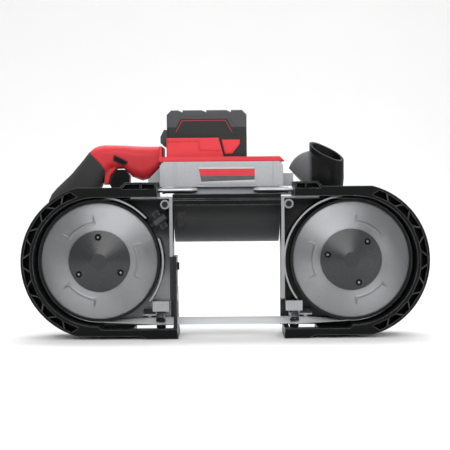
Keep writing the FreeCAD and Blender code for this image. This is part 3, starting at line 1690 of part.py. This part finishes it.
def horn_ball():
    profile = []
    for step in range(ball_steps + 1):
        along, up = polar(1, full_turn / 2 * (step / ball_steps - 1 / 2))
        profile.append((along * ball_radius, up * ball_half_depth))
    ball = turned(profile)
    ball.translate(V(horn_x - ball_inset, motor_y, arm_top + ball_rise))
    far = 2 * horn_high
    base = arm_top + seat_gap
    corner_x, corner_z = horn_x - ball_cut_x, arm_top + ball_cut_rise
    under = corner_box((corner_x - far, front_y, base - far), (corner_x + far, back_y, base))
    slant = slab([(corner_x - far, corner_z + far * ball_cut_slope), (corner_x - far, base - far),
                  (corner_x + far, base - far), (corner_x + far, corner_z - far * ball_cut_slope)],
                 front_y, back_y)
    return ball.cut([under, slant])


def front_handle():
    base = arm_top + seat_gap
    top = arm_top + horn_high
    foot = Part.makeLoft([oval(base, horn_foot_half_length, horn_foot_half_depth),
                          oval(base + horn_full, horn_half_length, horn_half_depth)], True, True)
    tube = Part.Face(oval(base + horn_full, horn_half_length, horn_half_depth)).extrude(V(0, 0, horn_high))
    hollow = Part.Face(oval(top - horn_mouth, horn_half_length - horn_wall, horn_half_depth - horn_wall))
    return union([foot, tube, horn_ball()]).cut([horn_cut(), hollow.extrude(V(0, 0, 2 * horn_high))])


def housing_arm():
    low_y, high_y = motor_y - arm_half_depth, motor_y + arm_half_depth
    arm = corner_box((throat_front_x - motor_bay_wall, low_y, arm_top - arm_thickness),
                     (horn_x + arm_over, high_y, arm_top))
    boss = corner_box((housing_front_x, low_y, arm_top + boss_low), (housing_front_x + boss_length, high_y,
                                                                     arm_top + boss_high))
    return [arm, boss]


# Export


def finished_casting():
    holes = [rest_screw_hole(), axle_slot(), lever_pin_hole()]
    holes.append(rod_y(middle_x, motor_height, middle_bearing_radius + seat_gap, web_front_y - overrun,
                       web_back_y + overrun))
    return union([frame_casting()] + brush_bosses() + slide_rails()).cut(holes)


nodes = {
    "frame_casting": finished_casting(),
    "rear_guard": guard(rear, rear_top_reach, rear_bottom_reach, rear_bump_length, rear_foot_length),
    "front_guard": guard(front, front_top_reach, front_bottom_reach, front_bump_length, front_foot_length),
    "guard_pins": group([guard_pin(rear), guard_pin(front)]),
    "frame_screws": frame_screws(),
    "blade": blade(),
    "blade_cover": blade_cover(),
    "rear_guide": guide_bracket(rear),
    "front_guide": guide_bracket(front),
    "work_rest": work_rest(),
    "rest_screw": rest_screw(),
    "wheel_brush": wheel_brush(),
    "brush_holder": brush_holder(),
    "brush_screws": brush_screws(),
    "motor_cover": motor_cover().cut(motor_bearing_seat()),
    "light_lens": light_lens(),
    "motor_housing": union([motor_housing()] + housing_arm()),
    "name_plate": name_plate(),
    "drive_wheel": wheel(rear, shaft_radius + running_gap, rear_cap_turn),
    "drive_tyre": tyre(rear),
    "drive_cap": hub_cap(rear, rear_cap_turn),
    "drive_cap_screws": hub_screws(rear, rear_cap_turn),
    "drive_shaft": drive_shaft(),
    "drive_gear": drive_gear(),
    "drive_bearings": drive_bearings(),
    "middle_shaft": middle_shaft(),
    "middle_gear": middle_gear(),
    "middle_bearings": middle_bearings(),
    "gear_case": gear_case(),
    "motor_stator": motor_stator(),
    "motor_rotor": motor_rotor(),
    "motor_bearings": motor_bearings(),
    "idler_wheel": wheel(front, idler_bearing_radius + running_gap, front_cap_turn),
    "idler_tyre": tyre(front),
    "idler_cap": hub_cap(front, front_cap_turn),
    "idler_cap_screws": hub_screws(front, front_cap_turn),
    "idler_bearing": idler_bearing(),
    "idler_axle": idler_axle(),
    "tension_slide": tension_slide(),
    "tension_lever": tension_lever(),
    "lever_pin": lever_pin(),
    "housing_front": housing_half(front),
    "housing_back": housing_half(rear),
    "grip": grip(),
    "trigger": trigger(),
    "lock_button": lock_button(),
    "switch": switch(),
    "terminal_block": terminal_block(),
    "battery_case": battery_case(),
    "battery_cells": battery_cells(),
    "front_latch": latch(front),
    "back_latch": latch(rear),
    "front_handle": front_handle(),
}
for side, place in ((rear, "rear"), (front, "front")):
    nodes[place + "_lower_roller"] = guide_roller(side, -1)
    nodes[place + "_upper_roller"] = guide_roller(side, 1)
    nodes[place + "_backup_roller"] = backup_roller(side)

os.makedirs("parts", exist_ok=True)
for node, shape in nodes.items():
    shape.exportStep("parts/" + node + ".step")
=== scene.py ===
import json
import math

import bmesh
import bpy
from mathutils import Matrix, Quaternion, Vector


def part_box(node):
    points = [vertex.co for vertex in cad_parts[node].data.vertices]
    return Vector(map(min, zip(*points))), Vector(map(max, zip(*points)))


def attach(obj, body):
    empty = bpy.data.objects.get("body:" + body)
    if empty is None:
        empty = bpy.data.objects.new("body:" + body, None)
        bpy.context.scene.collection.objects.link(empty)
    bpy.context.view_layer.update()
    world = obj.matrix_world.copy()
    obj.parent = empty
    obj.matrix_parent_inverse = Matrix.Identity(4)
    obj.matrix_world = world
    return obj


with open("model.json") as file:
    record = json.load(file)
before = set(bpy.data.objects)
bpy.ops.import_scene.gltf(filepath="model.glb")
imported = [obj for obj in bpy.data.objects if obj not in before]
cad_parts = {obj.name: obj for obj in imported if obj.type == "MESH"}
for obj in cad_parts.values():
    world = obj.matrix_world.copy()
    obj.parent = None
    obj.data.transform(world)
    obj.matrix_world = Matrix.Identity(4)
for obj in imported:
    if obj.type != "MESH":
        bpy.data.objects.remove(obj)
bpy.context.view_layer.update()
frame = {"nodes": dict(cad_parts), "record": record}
nodes = frame["nodes"]
scene = bpy.context.scene

# Lengths are in metres. A wheel's axis is given by its X and Z.
rear_wheel = (-0.1615, 0.098)
front_wheel = (0.1615, 0.098)
wheel_plane = -0.0455


# Materials

# Nearly all values of a noise texture lie in this band.
noise_band = (0.3, 0.7)


class Shader:
    """A node material with one Principled shader and short calls for the nodes in front of it."""

    def __init__(self, name, rough=0.5, metallic=0.0, specular=0.5):
        self.material = bpy.data.materials.new(name)
        self.material.use_nodes = True
        self.tree = self.material.node_tree
        self.shader = self.tree.nodes["Principled BSDF"]
        self.shader.inputs["Roughness"].default_value = rough
        self.shader.inputs["Metallic"].default_value = metallic
        self.shader.inputs["Specular IOR Level"].default_value = specular
        self.place = self.tree.nodes.new("ShaderNodeTexCoord").outputs["Object"]

    def node(self, kind, **values):
        made = self.tree.nodes.new(kind)
        for key, value in values.items():
            setattr(made, key, value)
        return made

    def link(self, source, target):
        self.tree.links.new(source, target)

    def maths(self, operation, first, second=0.0):
        made = self.node("ShaderNodeMath", operation=operation)
        for socket, value in zip(made.inputs, (first, second)):
            if isinstance(value, (int, float)):
                socket.default_value = value
            else:
                self.link(value, socket)
        return made.outputs[0]

    def product(self, first, second):
        return self.maths("MULTIPLY", first, second)

    def below(self, value, limit):
        return self.maths("LESS_THAN", value, limit)

    def above(self, value, limit):
        return self.maths("GREATER_THAN", value, limit)

    def split(self):
        made = self.node("ShaderNodeSeparateXYZ")
        self.link(self.place, made.inputs[0])
        return made.outputs

    def noise(self, scale, detail=3.0, place=None, stretch=(1, 1, 1)):
        made = self.node("ShaderNodeTexNoise")
        made.inputs["Scale"].default_value = scale
        made.inputs["Detail"].default_value = detail
        mapping = self.node("ShaderNodeMapping")
        mapping.inputs["Scale"].default_value = stretch
        self.link(place or self.place, mapping.inputs["Vector"])
        self.link(mapping.outputs[0], made.inputs["Vector"])
        return made.outputs["Fac"]

    def spread(self, value, low, high, out_low=0.0, out_high=1.0):
        made = self.node("ShaderNodeMapRange")
        self.link(value, made.inputs["Value"])
        limits = {"From Min": low, "From Max": high, "To Min": out_low, "To Max": out_high}
        for key, number in limits.items():
            made.inputs[key].default_value = number
        return made.outputs[0]

    def mix(self, share, first, second):
        made = self.node("ShaderNodeMix", data_type="RGBA")
        self.link(share, made.inputs["Factor"])
        for socket, value in ((made.inputs[6], first), (made.inputs[7], second)):
            if isinstance(value, tuple):
                socket.default_value = (*value, 1.0)
            else:
                self.link(value, socket)
        return made.outputs[2]

    def colour(self, value):
        self.link(value, self.shader.inputs["Base Color"])

    def clouded(self, fine, cloud_scale, light, dark):
        # Colour between dark and light by a fine pattern and broad clouds together.
        both = self.maths("ADD", fine, self.noise(cloud_scale))
        self.colour(self.mix(self.spread(both, 0.75, 1.25), dark, light))

    def rough(self, pattern, smoothest, roughest):
        varied = self.spread(pattern, *noise_band, smoothest, roughest)
        self.link(varied, self.shader.inputs["Roughness"])

    def soft_edges(self, radius):
        made = self.node("ShaderNodeBevel", samples=6)
        made.inputs["Radius"].default_value = radius
        return made.outputs[0]

    def bump(self, value, strength, depth, soften=0.0, under=None):
        made = self.node("ShaderNodeBump")
        if soften:
            under = self.soft_edges(soften)
        if under:
            self.link(under, made.inputs["Normal"])
        made.inputs["Strength"].default_value = strength
        made.inputs["Distance"].default_value = depth
        self.link(value, made.inputs["Height"])
        self.link(made.outputs[0], self.shader.inputs["Normal"])

    def edge_light(self, base, wear_and_highlight, reach):
        # Lighter where the surface turns within the reach, on outer edges only, and unevenly: wear
        # together with a painted highlight on the edges.
        turn = self.node("ShaderNodeVectorMath", operation="DOT_PRODUCT")
        geometry = self.node("ShaderNodeNewGeometry")
        self.link(self.soft_edges(reach), turn.inputs[0])
        self.link(geometry.outputs["Normal"], turn.inputs[1])
        edge = self.spread(turn.outputs["Value"], 0.86, 0.99, 1.0, 0.0)
        outer = self.spread(geometry.outputs["Pointiness"], 0.48, 0.51)
        lightening = self.spread(self.noise(60.0), *noise_band, 0.4, 1.0)
        return self.mix(self.product(self.product(edge, outer), lightening), base, wear_and_highlight)


def moulded(name, light, dark, rough, grain=900.0, depth=0.00012, wear_and_highlight=None, specular=0.3, soften=0.0,
            reach=0.0011):
    # Plastic or rubber: a clouded colour, paler edges that are partly wear and partly painted highlight,
    # and a fine grain.
    shade = Shader(name, rough=rough, specular=specular)
    base = shade.mix(shade.spread(shade.noise(9.0), 0.35, 0.65), dark, light)
    if wear_and_highlight:
        base = shade.edge_light(base, wear_and_highlight, reach)
    shade.colour(base)
    fine = shade.noise(grain, 2.0)
    shade.rough(fine, rough - 0.06, rough + 0.08)
    shade.bump(fine, 0.35, depth, soften)
    return shade.material


def metal(name, light, dark, rough, scale=400.0, metallic=0.9, depth=0.00006):
    shade = Shader(name, rough=rough, metallic=metallic)
    fine = shade.noise(scale, 4.0)
    shade.clouded(fine, 12.0, light, dark)
    shade.rough(fine, rough - 0.07, rough + 0.09)
    shade.bump(fine, 0.25, depth)
    return shade.material


def turned_metal(name, light, dark, rough, centre):
    # Fine rings about the wheel's axis, as a lathe leaves them, on a slightly dished face.
    ring_scale = 2600.0
    turn_stretch = 0.004
    dish_slope = -0.14
    edge_rounding = 0.0025
    shade = Shader(name, rough=rough, metallic=1.0)
    x, _, z = shade.split()
    dx = shade.maths("SUBTRACT", x, centre[0])
    dz = shade.maths("SUBTRACT", z, centre[1])
    square = shade.maths("ADD", shade.product(dx, dx), shade.product(dz, dz))
    radius = shade.maths("SQRT", square)
    around = shade.maths("ARCTAN2", dz, dx)
    joined = shade.node("ShaderNodeCombineXYZ")
    shade.link(radius, joined.inputs[0])
    shade.link(shade.product(around, turn_stretch), joined.inputs[1])
    rings = shade.noise(ring_scale, 3.0, place=joined.outputs[0])
    shade.clouded(rings, 14.0, light, dark)
    shade.rough(rings, rough - 0.06, rough + 0.08)
    dish = shade.node("ShaderNodeBump")
    dish.inputs["Distance"].default_value = 1.0
    shade.link(shade.soft_edges(edge_rounding), dish.inputs["Normal"])
    shade.link(shade.product(radius, dish_slope), dish.inputs["Height"])
    shade.bump(rings, 0.2, 0.00005, under=dish.outputs[0])
    outward = shade.node("ShaderNodeCombineXYZ")
    shade.link(dx, outward.inputs[0])
    shade.link(dz, outward.inputs[2])
    shade.link(outward.outputs[0], shade.shader.inputs["Tangent"])
    shade.shader.inputs["Anisotropic"].default_value = 0.85
    return shade.material


def casting_material():
    # Bare machined rims at the front. Between them the web's tones are painted light and shade on one
    # casting:
    # painted shade in black, a lit satin grey on the rear inner walls, and paler painted light near the
    # rear post.
    rim_y = -0.0605
    bare_z_rear, bare_z_front = 0.104, 0.05
    all_bare_x, grey_x = -0.0709, -0.0712
    grey_z = (0.112, 0.145)
    pale_x, pale_y, pale_z = (-0.1, -0.088), -0.018, (0.075, 0.1)
    shade = Shader("casting", rough=0.42, metallic=0.35)
    x, y, z = shade.split()
    bare_z = shade.spread(shade.above(x, 0.0), 0.0, 1.0, bare_z_rear, bare_z_front)
    bare = shade.maths("MAXIMUM", shade.above(z, bare_z), shade.below(x, all_bare_x))
    bright = shade.product(shade.below(y, rim_y), bare)
    lower = shade.product(shade.spread(z, *grey_z, 1.0, 0.0), shade.below(x, grey_x))
    inside = shade.product(shade.below(y, pale_y), shade.spread(x, *pale_x))
    painted_light_near_post = shade.product(inside, shade.spread(z, *pale_z, 1.0, 0.0))
    cloud = shade.noise(30.0)
    # On the web, black is painted shade, and grey and pale are painted light.
    silver = shade.mix(cloud, (0.24, 0.245, 0.255), (0.32, 0.325, 0.335))
    black = shade.mix(cloud, (0.008, 0.008, 0.009), (0.018, 0.018, 0.019))
    grey = shade.mix(cloud, (0.16, 0.165, 0.17), (0.24, 0.245, 0.25))
    pale = shade.mix(cloud, (0.42, 0.425, 0.435), (0.52, 0.525, 0.535))
    wall = shade.mix(painted_light_near_post, grey, pale)
    shade.colour(shade.mix(bright, shade.mix(lower, black, wall), silver))
    fine = shade.noise(700.0)
    shade.rough(fine, 0.34, 0.5)
    shade.bump(fine, 0.3, 0.0001)
    return shade.material


def plate_material():
    # A bare label: a red band over a grey one, a pale edge at the top and a pale sliver at the bottom.
    red_from, pale_from = 0.42, 0.88
    sliver_to, sliver_drop = 0.03, -0.12
    shade = Shader("plate", rough=0.35)
    x, _, z = shade.split()
    low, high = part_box("name_plate")
    share = shade.spread(z, low[2], high[2])
    slant = shade.maths("ADD", share, shade.spread(x, low[0], high[0], 0.0, sliver_drop))
    brushed = shade.noise(500.0, 2.0, stretch=(0.2, 1, 1))
    grey = shade.mix(brushed, (0.06, 0.06, 0.065), (0.12, 0.12, 0.125))
    red = shade.mix(shade.noise(60.0), (0.62, 0.02, 0.035), (0.74, 0.035, 0.05))
    pale = shade.mix(shade.noise(80.0), (0.5, 0.51, 0.53), (0.62, 0.63, 0.65))
    bands = shade.mix(shade.above(share, red_from), grey, red)
    base = shade.mix(shade.above(share, pale_from), bands, pale)
    shade.colour(shade.mix(shade.below(slant, sliver_to), base, pale))
    shade.bump(shade.noise(900.0), 0.15, 0.00005)
    return shade.material


def horn_material():
    # Black on the tube, and on the fan behind it a grey that is painted light.
    fan_to, tube_from = 0.1108, 0.1162
    shade = Shader("horn", rough=0.42, specular=0.1)
    x = shade.split()["X"]
    cloud = shade.noise(25.0)
    black = shade.mix(cloud, (0.003, 0.0032, 0.0035), (0.007, 0.0072, 0.0075))
    grey = shade.mix(cloud, (0.1, 0.102, 0.108), (0.15, 0.153, 0.16))
    fan = shade.spread(x, fan_to, tube_from, 1.0, 0.0)
    shade.colour(shade.mix(fan, black, grey))
    fine = shade.noise(900.0, 2.0)
    shade.rough(fine, 0.38, 0.52)
    shade.bump(fine, 0.35, 0.00012, 0.003)
    return shade.material


def battery_material():
    # Charcoal, with a bare black field on each long side, edged by a thin red line at its top and ends.
    # The field and the line are trapeziums, each given by its half width at the foot and its top.
    middle_x, middle_y, foot_z = -0.0266, 0.023, 0.2645
    lean = 0.557
    line_outer, line_inner = (0.0369, 0.2795), (0.0362, 0.2789)
    field_edge = (0.0395, 0.2815)
    skirt_top = 0.2705
    sides_from = 0.0365
    shade = Shader("battery", rough=0.5, specular=0.3)
    x, y, z = shade.split()
    aside = shade.maths("ABSOLUTE", shade.maths("SUBTRACT", x, middle_x))
    slope = shade.maths("ADD", aside, shade.product(shade.maths("SUBTRACT", z, foot_z), lean))

    def trapezium(half, top):
        return shade.product(shade.below(slope, half), shade.below(z, top))

    outline = shade.maths("SUBTRACT", trapezium(*line_outer), trapezium(*line_inner))
    line = shade.product(outline, shade.above(z, foot_z))
    field = shade.maths("MAXIMUM", trapezium(*field_edge), shade.below(z, skirt_top))
    off_middle = shade.maths("ABSOLUTE", shade.maths("SUBTRACT", y, middle_y))
    sides = shade.above(off_middle, sides_from)
    cloud = shade.noise(20.0)
    body = shade.mix(cloud, (0.045, 0.046, 0.05), (0.075, 0.076, 0.081))
    black = shade.mix(cloud, (0.012, 0.012, 0.013), (0.02, 0.02, 0.021))
    red = shade.mix(cloud, (0.5, 0.02, 0.025), (0.58, 0.03, 0.035))
    base = shade.mix(shade.product(field, sides), body, black)
    shade.colour(shade.mix(shade.product(line, sides), base, red))
    fine = shade.noise(1100.0, 2.0)
    shade.rough(fine, 0.44, 0.58)
    shade.bump(fine, 0.35, 0.00014)
    return shade.material


def blade_material():
    # Painted reflection: bright along the lower run. Painted shade: darker round the wheels.
    reflection_to, shade_from = 0.021, 0.034
    shade = Shader("blade_steel", rough=0.42, metallic=0.5)
    z = shade.split()["Z"]
    streaks = shade.noise(900.0, 4.0, stretch=(0.05, 1, 1))
    lightening = shade.mix(streaks, (0.78, 0.79, 0.8), (0.9, 0.91, 0.92))
    painted_shade = shade.mix(streaks, (0.12, 0.122, 0.125), (0.2, 0.202, 0.206))
    shade.colour(shade.mix(shade.spread(z, reflection_to, shade_from), lightening, painted_shade))
    shade.rough(streaks, 0.35, 0.51)
    shade.bump(streaks, 0.25, 0.00006)
    return shade.material


def cap_screw_material():
    # Black heads, with a painted highlight in pale steel colour down in the key's socket.
    black_depth = 0.0012
    shade = Shader("cap_screw", rough=0.25, metallic=0.8)
    y = shade.split()["Y"]
    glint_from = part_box("drive_cap_screws")[0][1] + black_depth
    cloud = shade.noise(300.0)
    black = shade.mix(cloud, (0.004, 0.004, 0.0045), (0.008, 0.008, 0.009))
    bare = shade.mix(cloud, (0.3, 0.305, 0.31), (0.45, 0.455, 0.46))
    shade.colour(shade.mix(shade.above(y, glint_from), black, bare))
    shade.rough(cloud, 0.2, 0.32)
    return shade.material


def lens_material():
    # A dark pane with fine level ripples.
    shade = Shader("lens", rough=0.15, specular=0.3)
    ripple = shade.node("ShaderNodeTexWave", bands_direction="Z")
    ripple.inputs["Scale"].default_value = 260.0
    shade.link(shade.place, ripple.inputs["Vector"])
    shade.colour(shade.mix(ripple.outputs["Fac"], (0.002, 0.002, 0.0025), (0.006, 0.006, 0.007)))
    shade.bump(ripple.outputs["Fac"], 0.3, 0.0002)
    return shade.material


red = moulded("red_plastic", (0.72, 0.04, 0.052), (0.62, 0.027, 0.036), 0.42,
              wear_and_highlight=(0.74, 0.09, 0.1), soften=0.003)
# On the guard the pale edge colour is chiefly a painted highlight on the rims and ribs.
guard = moulded("guard_black", (0.004, 0.0044, 0.0047), (0.0025, 0.0028, 0.003), 0.36,
                wear_and_highlight=(0.17, 0.172, 0.176), specular=0.12, reach=0.0013)
charcoal = moulded("charcoal", (0.045, 0.046, 0.049), (0.026, 0.027, 0.029), 0.5,
                   wear_and_highlight=(0.09, 0.09, 0.094))
cover = moulded("motor_cover", (0.031, 0.032, 0.034), (0.02, 0.021, 0.022), 0.5,
                wear_and_highlight=(0.08, 0.08, 0.084))
cap = moulded("cap_grey", (0.03, 0.031, 0.033), (0.022, 0.023, 0.025), 0.3,
              wear_and_highlight=(0.07, 0.07, 0.074), specular=0.45, depth=0.00004)
rubber = moulded("rubber", (0.042, 0.042, 0.043), (0.024, 0.024, 0.025), 0.62,
                 grain=1500.0, depth=0.0003, soften=0.004)
tyre = moulded("tyre", (0.008, 0.008, 0.009), (0.004, 0.004, 0.0045), 0.6, grain=1200.0, depth=0.0003)
silver = metal("housing_silver", (0.42, 0.43, 0.45), (0.36, 0.37, 0.39), 0.42, metallic=0.45)
steel = metal("bright_steel", (0.42, 0.43, 0.44), (0.33, 0.34, 0.35), 0.34,
              scale=90.0, metallic=1.0, depth=0.000004)
dark_steel = metal("dark_steel", (0.03, 0.03, 0.032), (0.01, 0.01, 0.011), 0.35, metallic=0.7)
machine = metal("machine_steel", (0.5, 0.51, 0.53), (0.42, 0.43, 0.45), 0.34, scale=150.0, depth=0.00001)
iron = metal("motor_iron", (0.25, 0.24, 0.22), (0.12, 0.11, 0.1), 0.55)
wheel_tones = ((0.36, 0.365, 0.375), (0.28, 0.285, 0.295), 0.44)
blade_steel = blade_material()
cap_screw = cap_screw_material()

# A finish for each of the record's material slots, and for nodes that need one of their own.
finishes = {
    "red_plastic": red, "guard_plastic": guard, "charcoal_plastic": charcoal, "grip_rubber": rubber,
    "casting_silver": silver, "blade_steel": blade_steel, "bright_steel": steel, "dark_steel": dark_steel,
    "machine_steel": machine, "motor_iron": iron, "cell_metal": machine,
}
special = {
    "drive_wheel": turned_metal("drive_wheel", *wheel_tones, rear_wheel),
    "idler_wheel": turned_metal("idler_wheel", *wheel_tones, front_wheel),
    "drive_cap_screws": cap_screw, "idler_cap_screws": cap_screw,
    "drive_cap": cap, "idler_cap": cap, "drive_tyre": tyre, "idler_tyre": tyre, "wheel_brush": tyre,
    "front_handle": horn_material(), "battery_case": battery_material(), "motor_cover": cover,
    "frame_casting": casting_material(), "name_plate": plate_material(), "light_lens": lens_material(),
}
slot_of = {row["node"]: row["material_slot"] for row in frame["record"]["subparts"]}
for name, obj in nodes.items():
    finish = special.get(name) or finishes[slot_of[name]]
    obj.data.materials.clear()
    obj.data.materials.append(finish)


# Edges: a small rounding, mostly on the moulded pieces, so that they catch light

edge_width = {
    "housing_front": 0.0014, "housing_back": 0.0014, "rear_guard": 0.0006, "front_guard": 0.0006,
    "motor_housing": 0.001, "battery_case": 0.0012, "motor_cover": 0.0008, "trigger": 0.0015,
    "lock_button": 0.001, "front_latch": 0.0007, "back_latch": 0.0007, "frame_casting": 0.0004,
    "grip": 0.002, "blade_cover": 0.0005, "drive_cap": 0.0005, "idler_cap": 0.0005, "work_rest": 0.0004,
}
sharp_from = math.radians(35)
for name, width in edge_width.items():
    bevel = nodes[name].modifiers.new("edge", "BEVEL")
    bevel.width = width
    bevel.segments = 2
    bevel.limit_method = "ANGLE"
    bevel.angle_limit = sharp_from
    bevel.use_clamp_overlap = True


def mesh_object(name, verts, faces, finish):
    mesh = bpy.data.meshes.new(name)
    mesh.from_pydata(verts, [], faces)
    mesh.update()
    mesh.materials.append(finish)
    made = bpy.data.objects.new(name, mesh)
    scene.collection.objects.link(made)
    return made


# Blade teeth round the wheels, where the solid blade has a plain edge


def wheel_teeth():
    pitch, depth = 0.0028, 0.001
    inner, outer = 0.07832, 0.07888
    edge_y = -0.04436
    # Each tooth's root, tip and end, as shares of the pitch.
    profile = ((0.0, edge_y), (0.25, edge_y - depth), (0.9, edge_y))
    sides = ((0, 2, 4), (1, 5, 3), (0, 1, 3, 2), (2, 3, 5, 4), (4, 5, 1, 0))
    count = int(math.pi * (inner + outer) / 2 / pitch)
    verts, faces = [], []
    for centre, start in ((rear_wheel, 90), (front_wheel, -90)):
        for index in range(count):
            first = len(verts)
            for share, y in profile:
                angle = math.radians(start + 180 * (index + share) / count)
                for radius in (inner, outer):
                    x = centre[0] + radius * math.cos(angle)
                    z = centre[1] + radius * math.sin(angle)
                    verts.append((x, y, z))
            faces.extend([tuple(first + corner for corner in side) for side in sides])
    made = mesh_object("wheel_teeth", verts, faces, blade_steel)
    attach(made, "frame")


wheel_teeth()


# Caps and screws on the back, where the gear case is bolted together

# How far each of them goes into the face that it sits on.
sunk = 0.0004


def turned_piece(name, spots, rings, finish):
    # Rings about an axis along Y, each (radius, y, corners). A ring with corners is a polygon, for a key.
    steps = 24
    verts, faces = [], []
    for centre_x, centre_z in spots:
        first = len(verts)
        for radius, y, corners in rings:
            for step in range(steps):
                angle = 2 * math.pi * step / steps
                reach = radius
                if corners:
                    half = math.pi / corners
                    reach = radius * math.cos(half) / math.cos(angle % (2 * half) - half)
                verts.append((centre_x + reach * math.cos(angle), y, centre_z + reach * math.sin(angle)))
        for ring in range(len(rings) - 1):
            start = first + ring * steps
            for step in range(steps):
                here = start + step
                after = start + (step + 1) % steps
                faces.append((here, after, after + steps, here + steps))
        last = first + (len(rings) - 1) * steps
        faces.append(tuple(range(first, first + steps))[::-1])
        faces.append(tuple(range(last, last + steps)))
    made = mesh_object(name, verts, faces, finish)
    work = bmesh.new()
    work.from_mesh(made.data)
    bmesh.ops.recalc_face_normals(work, faces=work.faces)
    work.to_mesh(made.data)
    work.free()
    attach(made, "frame")


def socket_screw(face_y, head, height):
    # A round head with a chamfer and a six-sided socket.
    chamfer, key, deep = 0.15 * head, 0.55 * head, 0.6 * height
    top = face_y + height
    return [(head, face_y - sunk, 0), (head, top - chamfer, 0), (head - chamfer, top, 0),
            (key, top, 6), (key, top - deep, 6)]


def round_cap(face_y, outer, height):
    # A lid with a chamfered rim, a floor a little lower, and a low boss in the middle.
    chamfer, dip, boss_dip = 0.0006, 0.0007, 0.0002
    lip, boss_foot, boss = outer - 0.12 * outer, 0.35 * outer, 0.3 * outer
    top = face_y + height
    return [(outer, face_y - sunk, 0), (outer, top - chamfer, 0), (outer - chamfer, top, 0),
            (lip, top, 0), (lip - chamfer, top - dip, 0), (boss_foot, top - dip, 0),
            (boss, top - boss_dip, 0)]


def ring_of_spots(centre, radius, degrees):
    turns = [math.radians(turn) for turn in degrees]
    return [(centre[0] + radius * math.cos(turn), centre[1] + radius * math.sin(turn)) for turn in turns]


gear_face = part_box("drive_bearings")[1][1]
bevel_face = 0.0385
bevel_axis = (-0.12873, 0.1518)
gear_lid = round_cap(gear_face, outer=0.018, height=0.0024)
bevel_lid = round_cap(bevel_face, outer=0.0115, height=0.0016)
gear_screw = socket_screw(gear_face, head=0.0032, height=0.0026)
bevel_screw = socket_screw(bevel_face, head=0.0022, height=0.0018)
gear_spots = ring_of_spots(rear_wheel, 0.0555, (110, 165, 220, 275, 330, 15))
bevel_spots = ring_of_spots(bevel_axis, 0.0195, (30, 90, 150, 210, 270, 330))
turned_piece("gear_case_cap", [rear_wheel], gear_lid, silver)
turned_piece("bevel_case_cap", [bevel_axis], bevel_lid, silver)
turned_piece("gear_case_screws", gear_spots, gear_screw, dark_steel)
turned_piece("bevel_case_screws", bevel_spots, bevel_screw, dark_steel)


# Floor, light and camera

scene.view_settings.view_transform = "Standard"


def sweep_floor(finish):
    # A floor just under the base that bends up behind the saw into a backdrop.
    front, bend_from, bend, top = -1.2, 2.0, 1.2, 5.0
    half_width, drop = 6.0, 0.0005
    steps = 12
    run = [(front, 0.0), (bend_from, 0.0)]
    for step in range(1, steps + 1):
        angle = math.radians(90 * step / steps)
        run.append((bend_from + bend * math.sin(angle), bend * (1 - math.cos(angle))))
    run.append((bend_from + bend, top))
    verts = [(side, y, z - drop) for y, z in run for side in (-half_width, half_width)]
    faces = [(2 * i, 2 * i + 1, 2 * i + 3, 2 * i + 2) for i in range(len(run) - 1)]
    made = mesh_object("floor", verts, faces, finish)
    for face in made.data.polygons:
        face.use_smooth = True
    return made


pale = Shader("floor_pale", rough=0.9, specular=0.1)
pale.colour(pale.mix(pale.noise(2.0), (0.86, 0.86, 0.86), (0.9, 0.9, 0.9)))
floor = sweep_floor(pale.material)


def studio_world():
    # Bright above and behind the saw, dimmer in front of it.
    world = bpy.data.worlds.new("studio")
    scene.world = world
    world.use_nodes = True
    tree = world.node_tree
    glow = tree.nodes["Background"]
    place = tree.nodes.new("ShaderNodeTexCoord").outputs["Generated"]
    parts = tree.nodes.new("ShaderNodeSeparateXYZ")
    tree.links.new(place, parts.inputs[0])

    def ramp(value, low, high, out_low, out_high):
        made = tree.nodes.new("ShaderNodeMapRange")
        made.interpolation_type = "SMOOTHSTEP"
        tree.links.new(value, made.inputs["Value"])
        limits = {"From Min": low, "From Max": high, "To Min": out_low, "To Max": out_high}
        for key, number in limits.items():
            made.inputs[key].default_value = number
        return made.outputs[0]

    behind = ramp(parts.outputs["Y"], -0.5, 0.6, 0.2, 0.9)
    overhead = ramp(parts.outputs["Z"], 0.15, 0.9, 0.0, 0.7)
    total = tree.nodes.new("ShaderNodeMath")
    total.operation = "ADD"
    tree.links.new(behind, total.inputs[0])
    tree.links.new(overhead, total.inputs[1])
    tree.links.new(total.outputs[0], glow.inputs["Strength"])
    glow.inputs["Color"].default_value = (1, 1, 1, 1)


studio_world()


def area_light(name, place, aim, size, power):
    data = bpy.data.lights.new(name, "AREA")
    data.shape = "RECTANGLE"
    data.size, data.size_y = size
    data.energy = power
    obj = bpy.data.objects.new(name, data)
    scene.collection.objects.link(obj)
    obj.location = place
    obj.rotation_euler = (Vector(aim) - Vector(place)).to_track_quat("-Z", "Y").to_euler()


area_light("key", place=(-0.05, -1.3, 0.68), aim=(0, 0, 0.1), size=(0.9, 0.5), power=7.5)
area_light("side", place=(1.4, -0.9, 0.5), aim=(0, 0, 0.12), size=(0.5, 0.8), power=6)
area_light("back", place=(0.2, 1.2, 1.5), aim=(0, 0, 0.2), size=(1.4, 0.8), power=8)
area_light("backdrop", place=(0, 0.8, 3.2), aim=(0, 2.6, 0.6), size=(4.0, 1.0), power=60)

# The camera looks at a point in the wheel plane, and its view is that wide there.
view_width = 0.57735
view_middle_z = 0.1433
distance = 1.4
elevation = math.radians(2.0)
roll = math.radians(-0.45)
sensor_width = 36.0
camera_data = bpy.data.cameras.new("camera")
camera = bpy.data.objects.new("camera", camera_data)
scene.collection.objects.link(camera)
scene.camera = camera
target = Vector((0.0, wheel_plane, view_middle_z))
camera.location = target + Vector((0, -math.cos(elevation), math.sin(elevation))) * distance
looking = (target - camera.location).to_track_quat("-Z", "Y")
camera.rotation_euler = (looking @ Quaternion((0, 0, 1), roll)).to_euler()
camera_data.sensor_width = sensor_width
camera_data.lens = sensor_width * distance / view_width
camera_data.clip_start = 0.05
camera_data.clip_end = 60.0
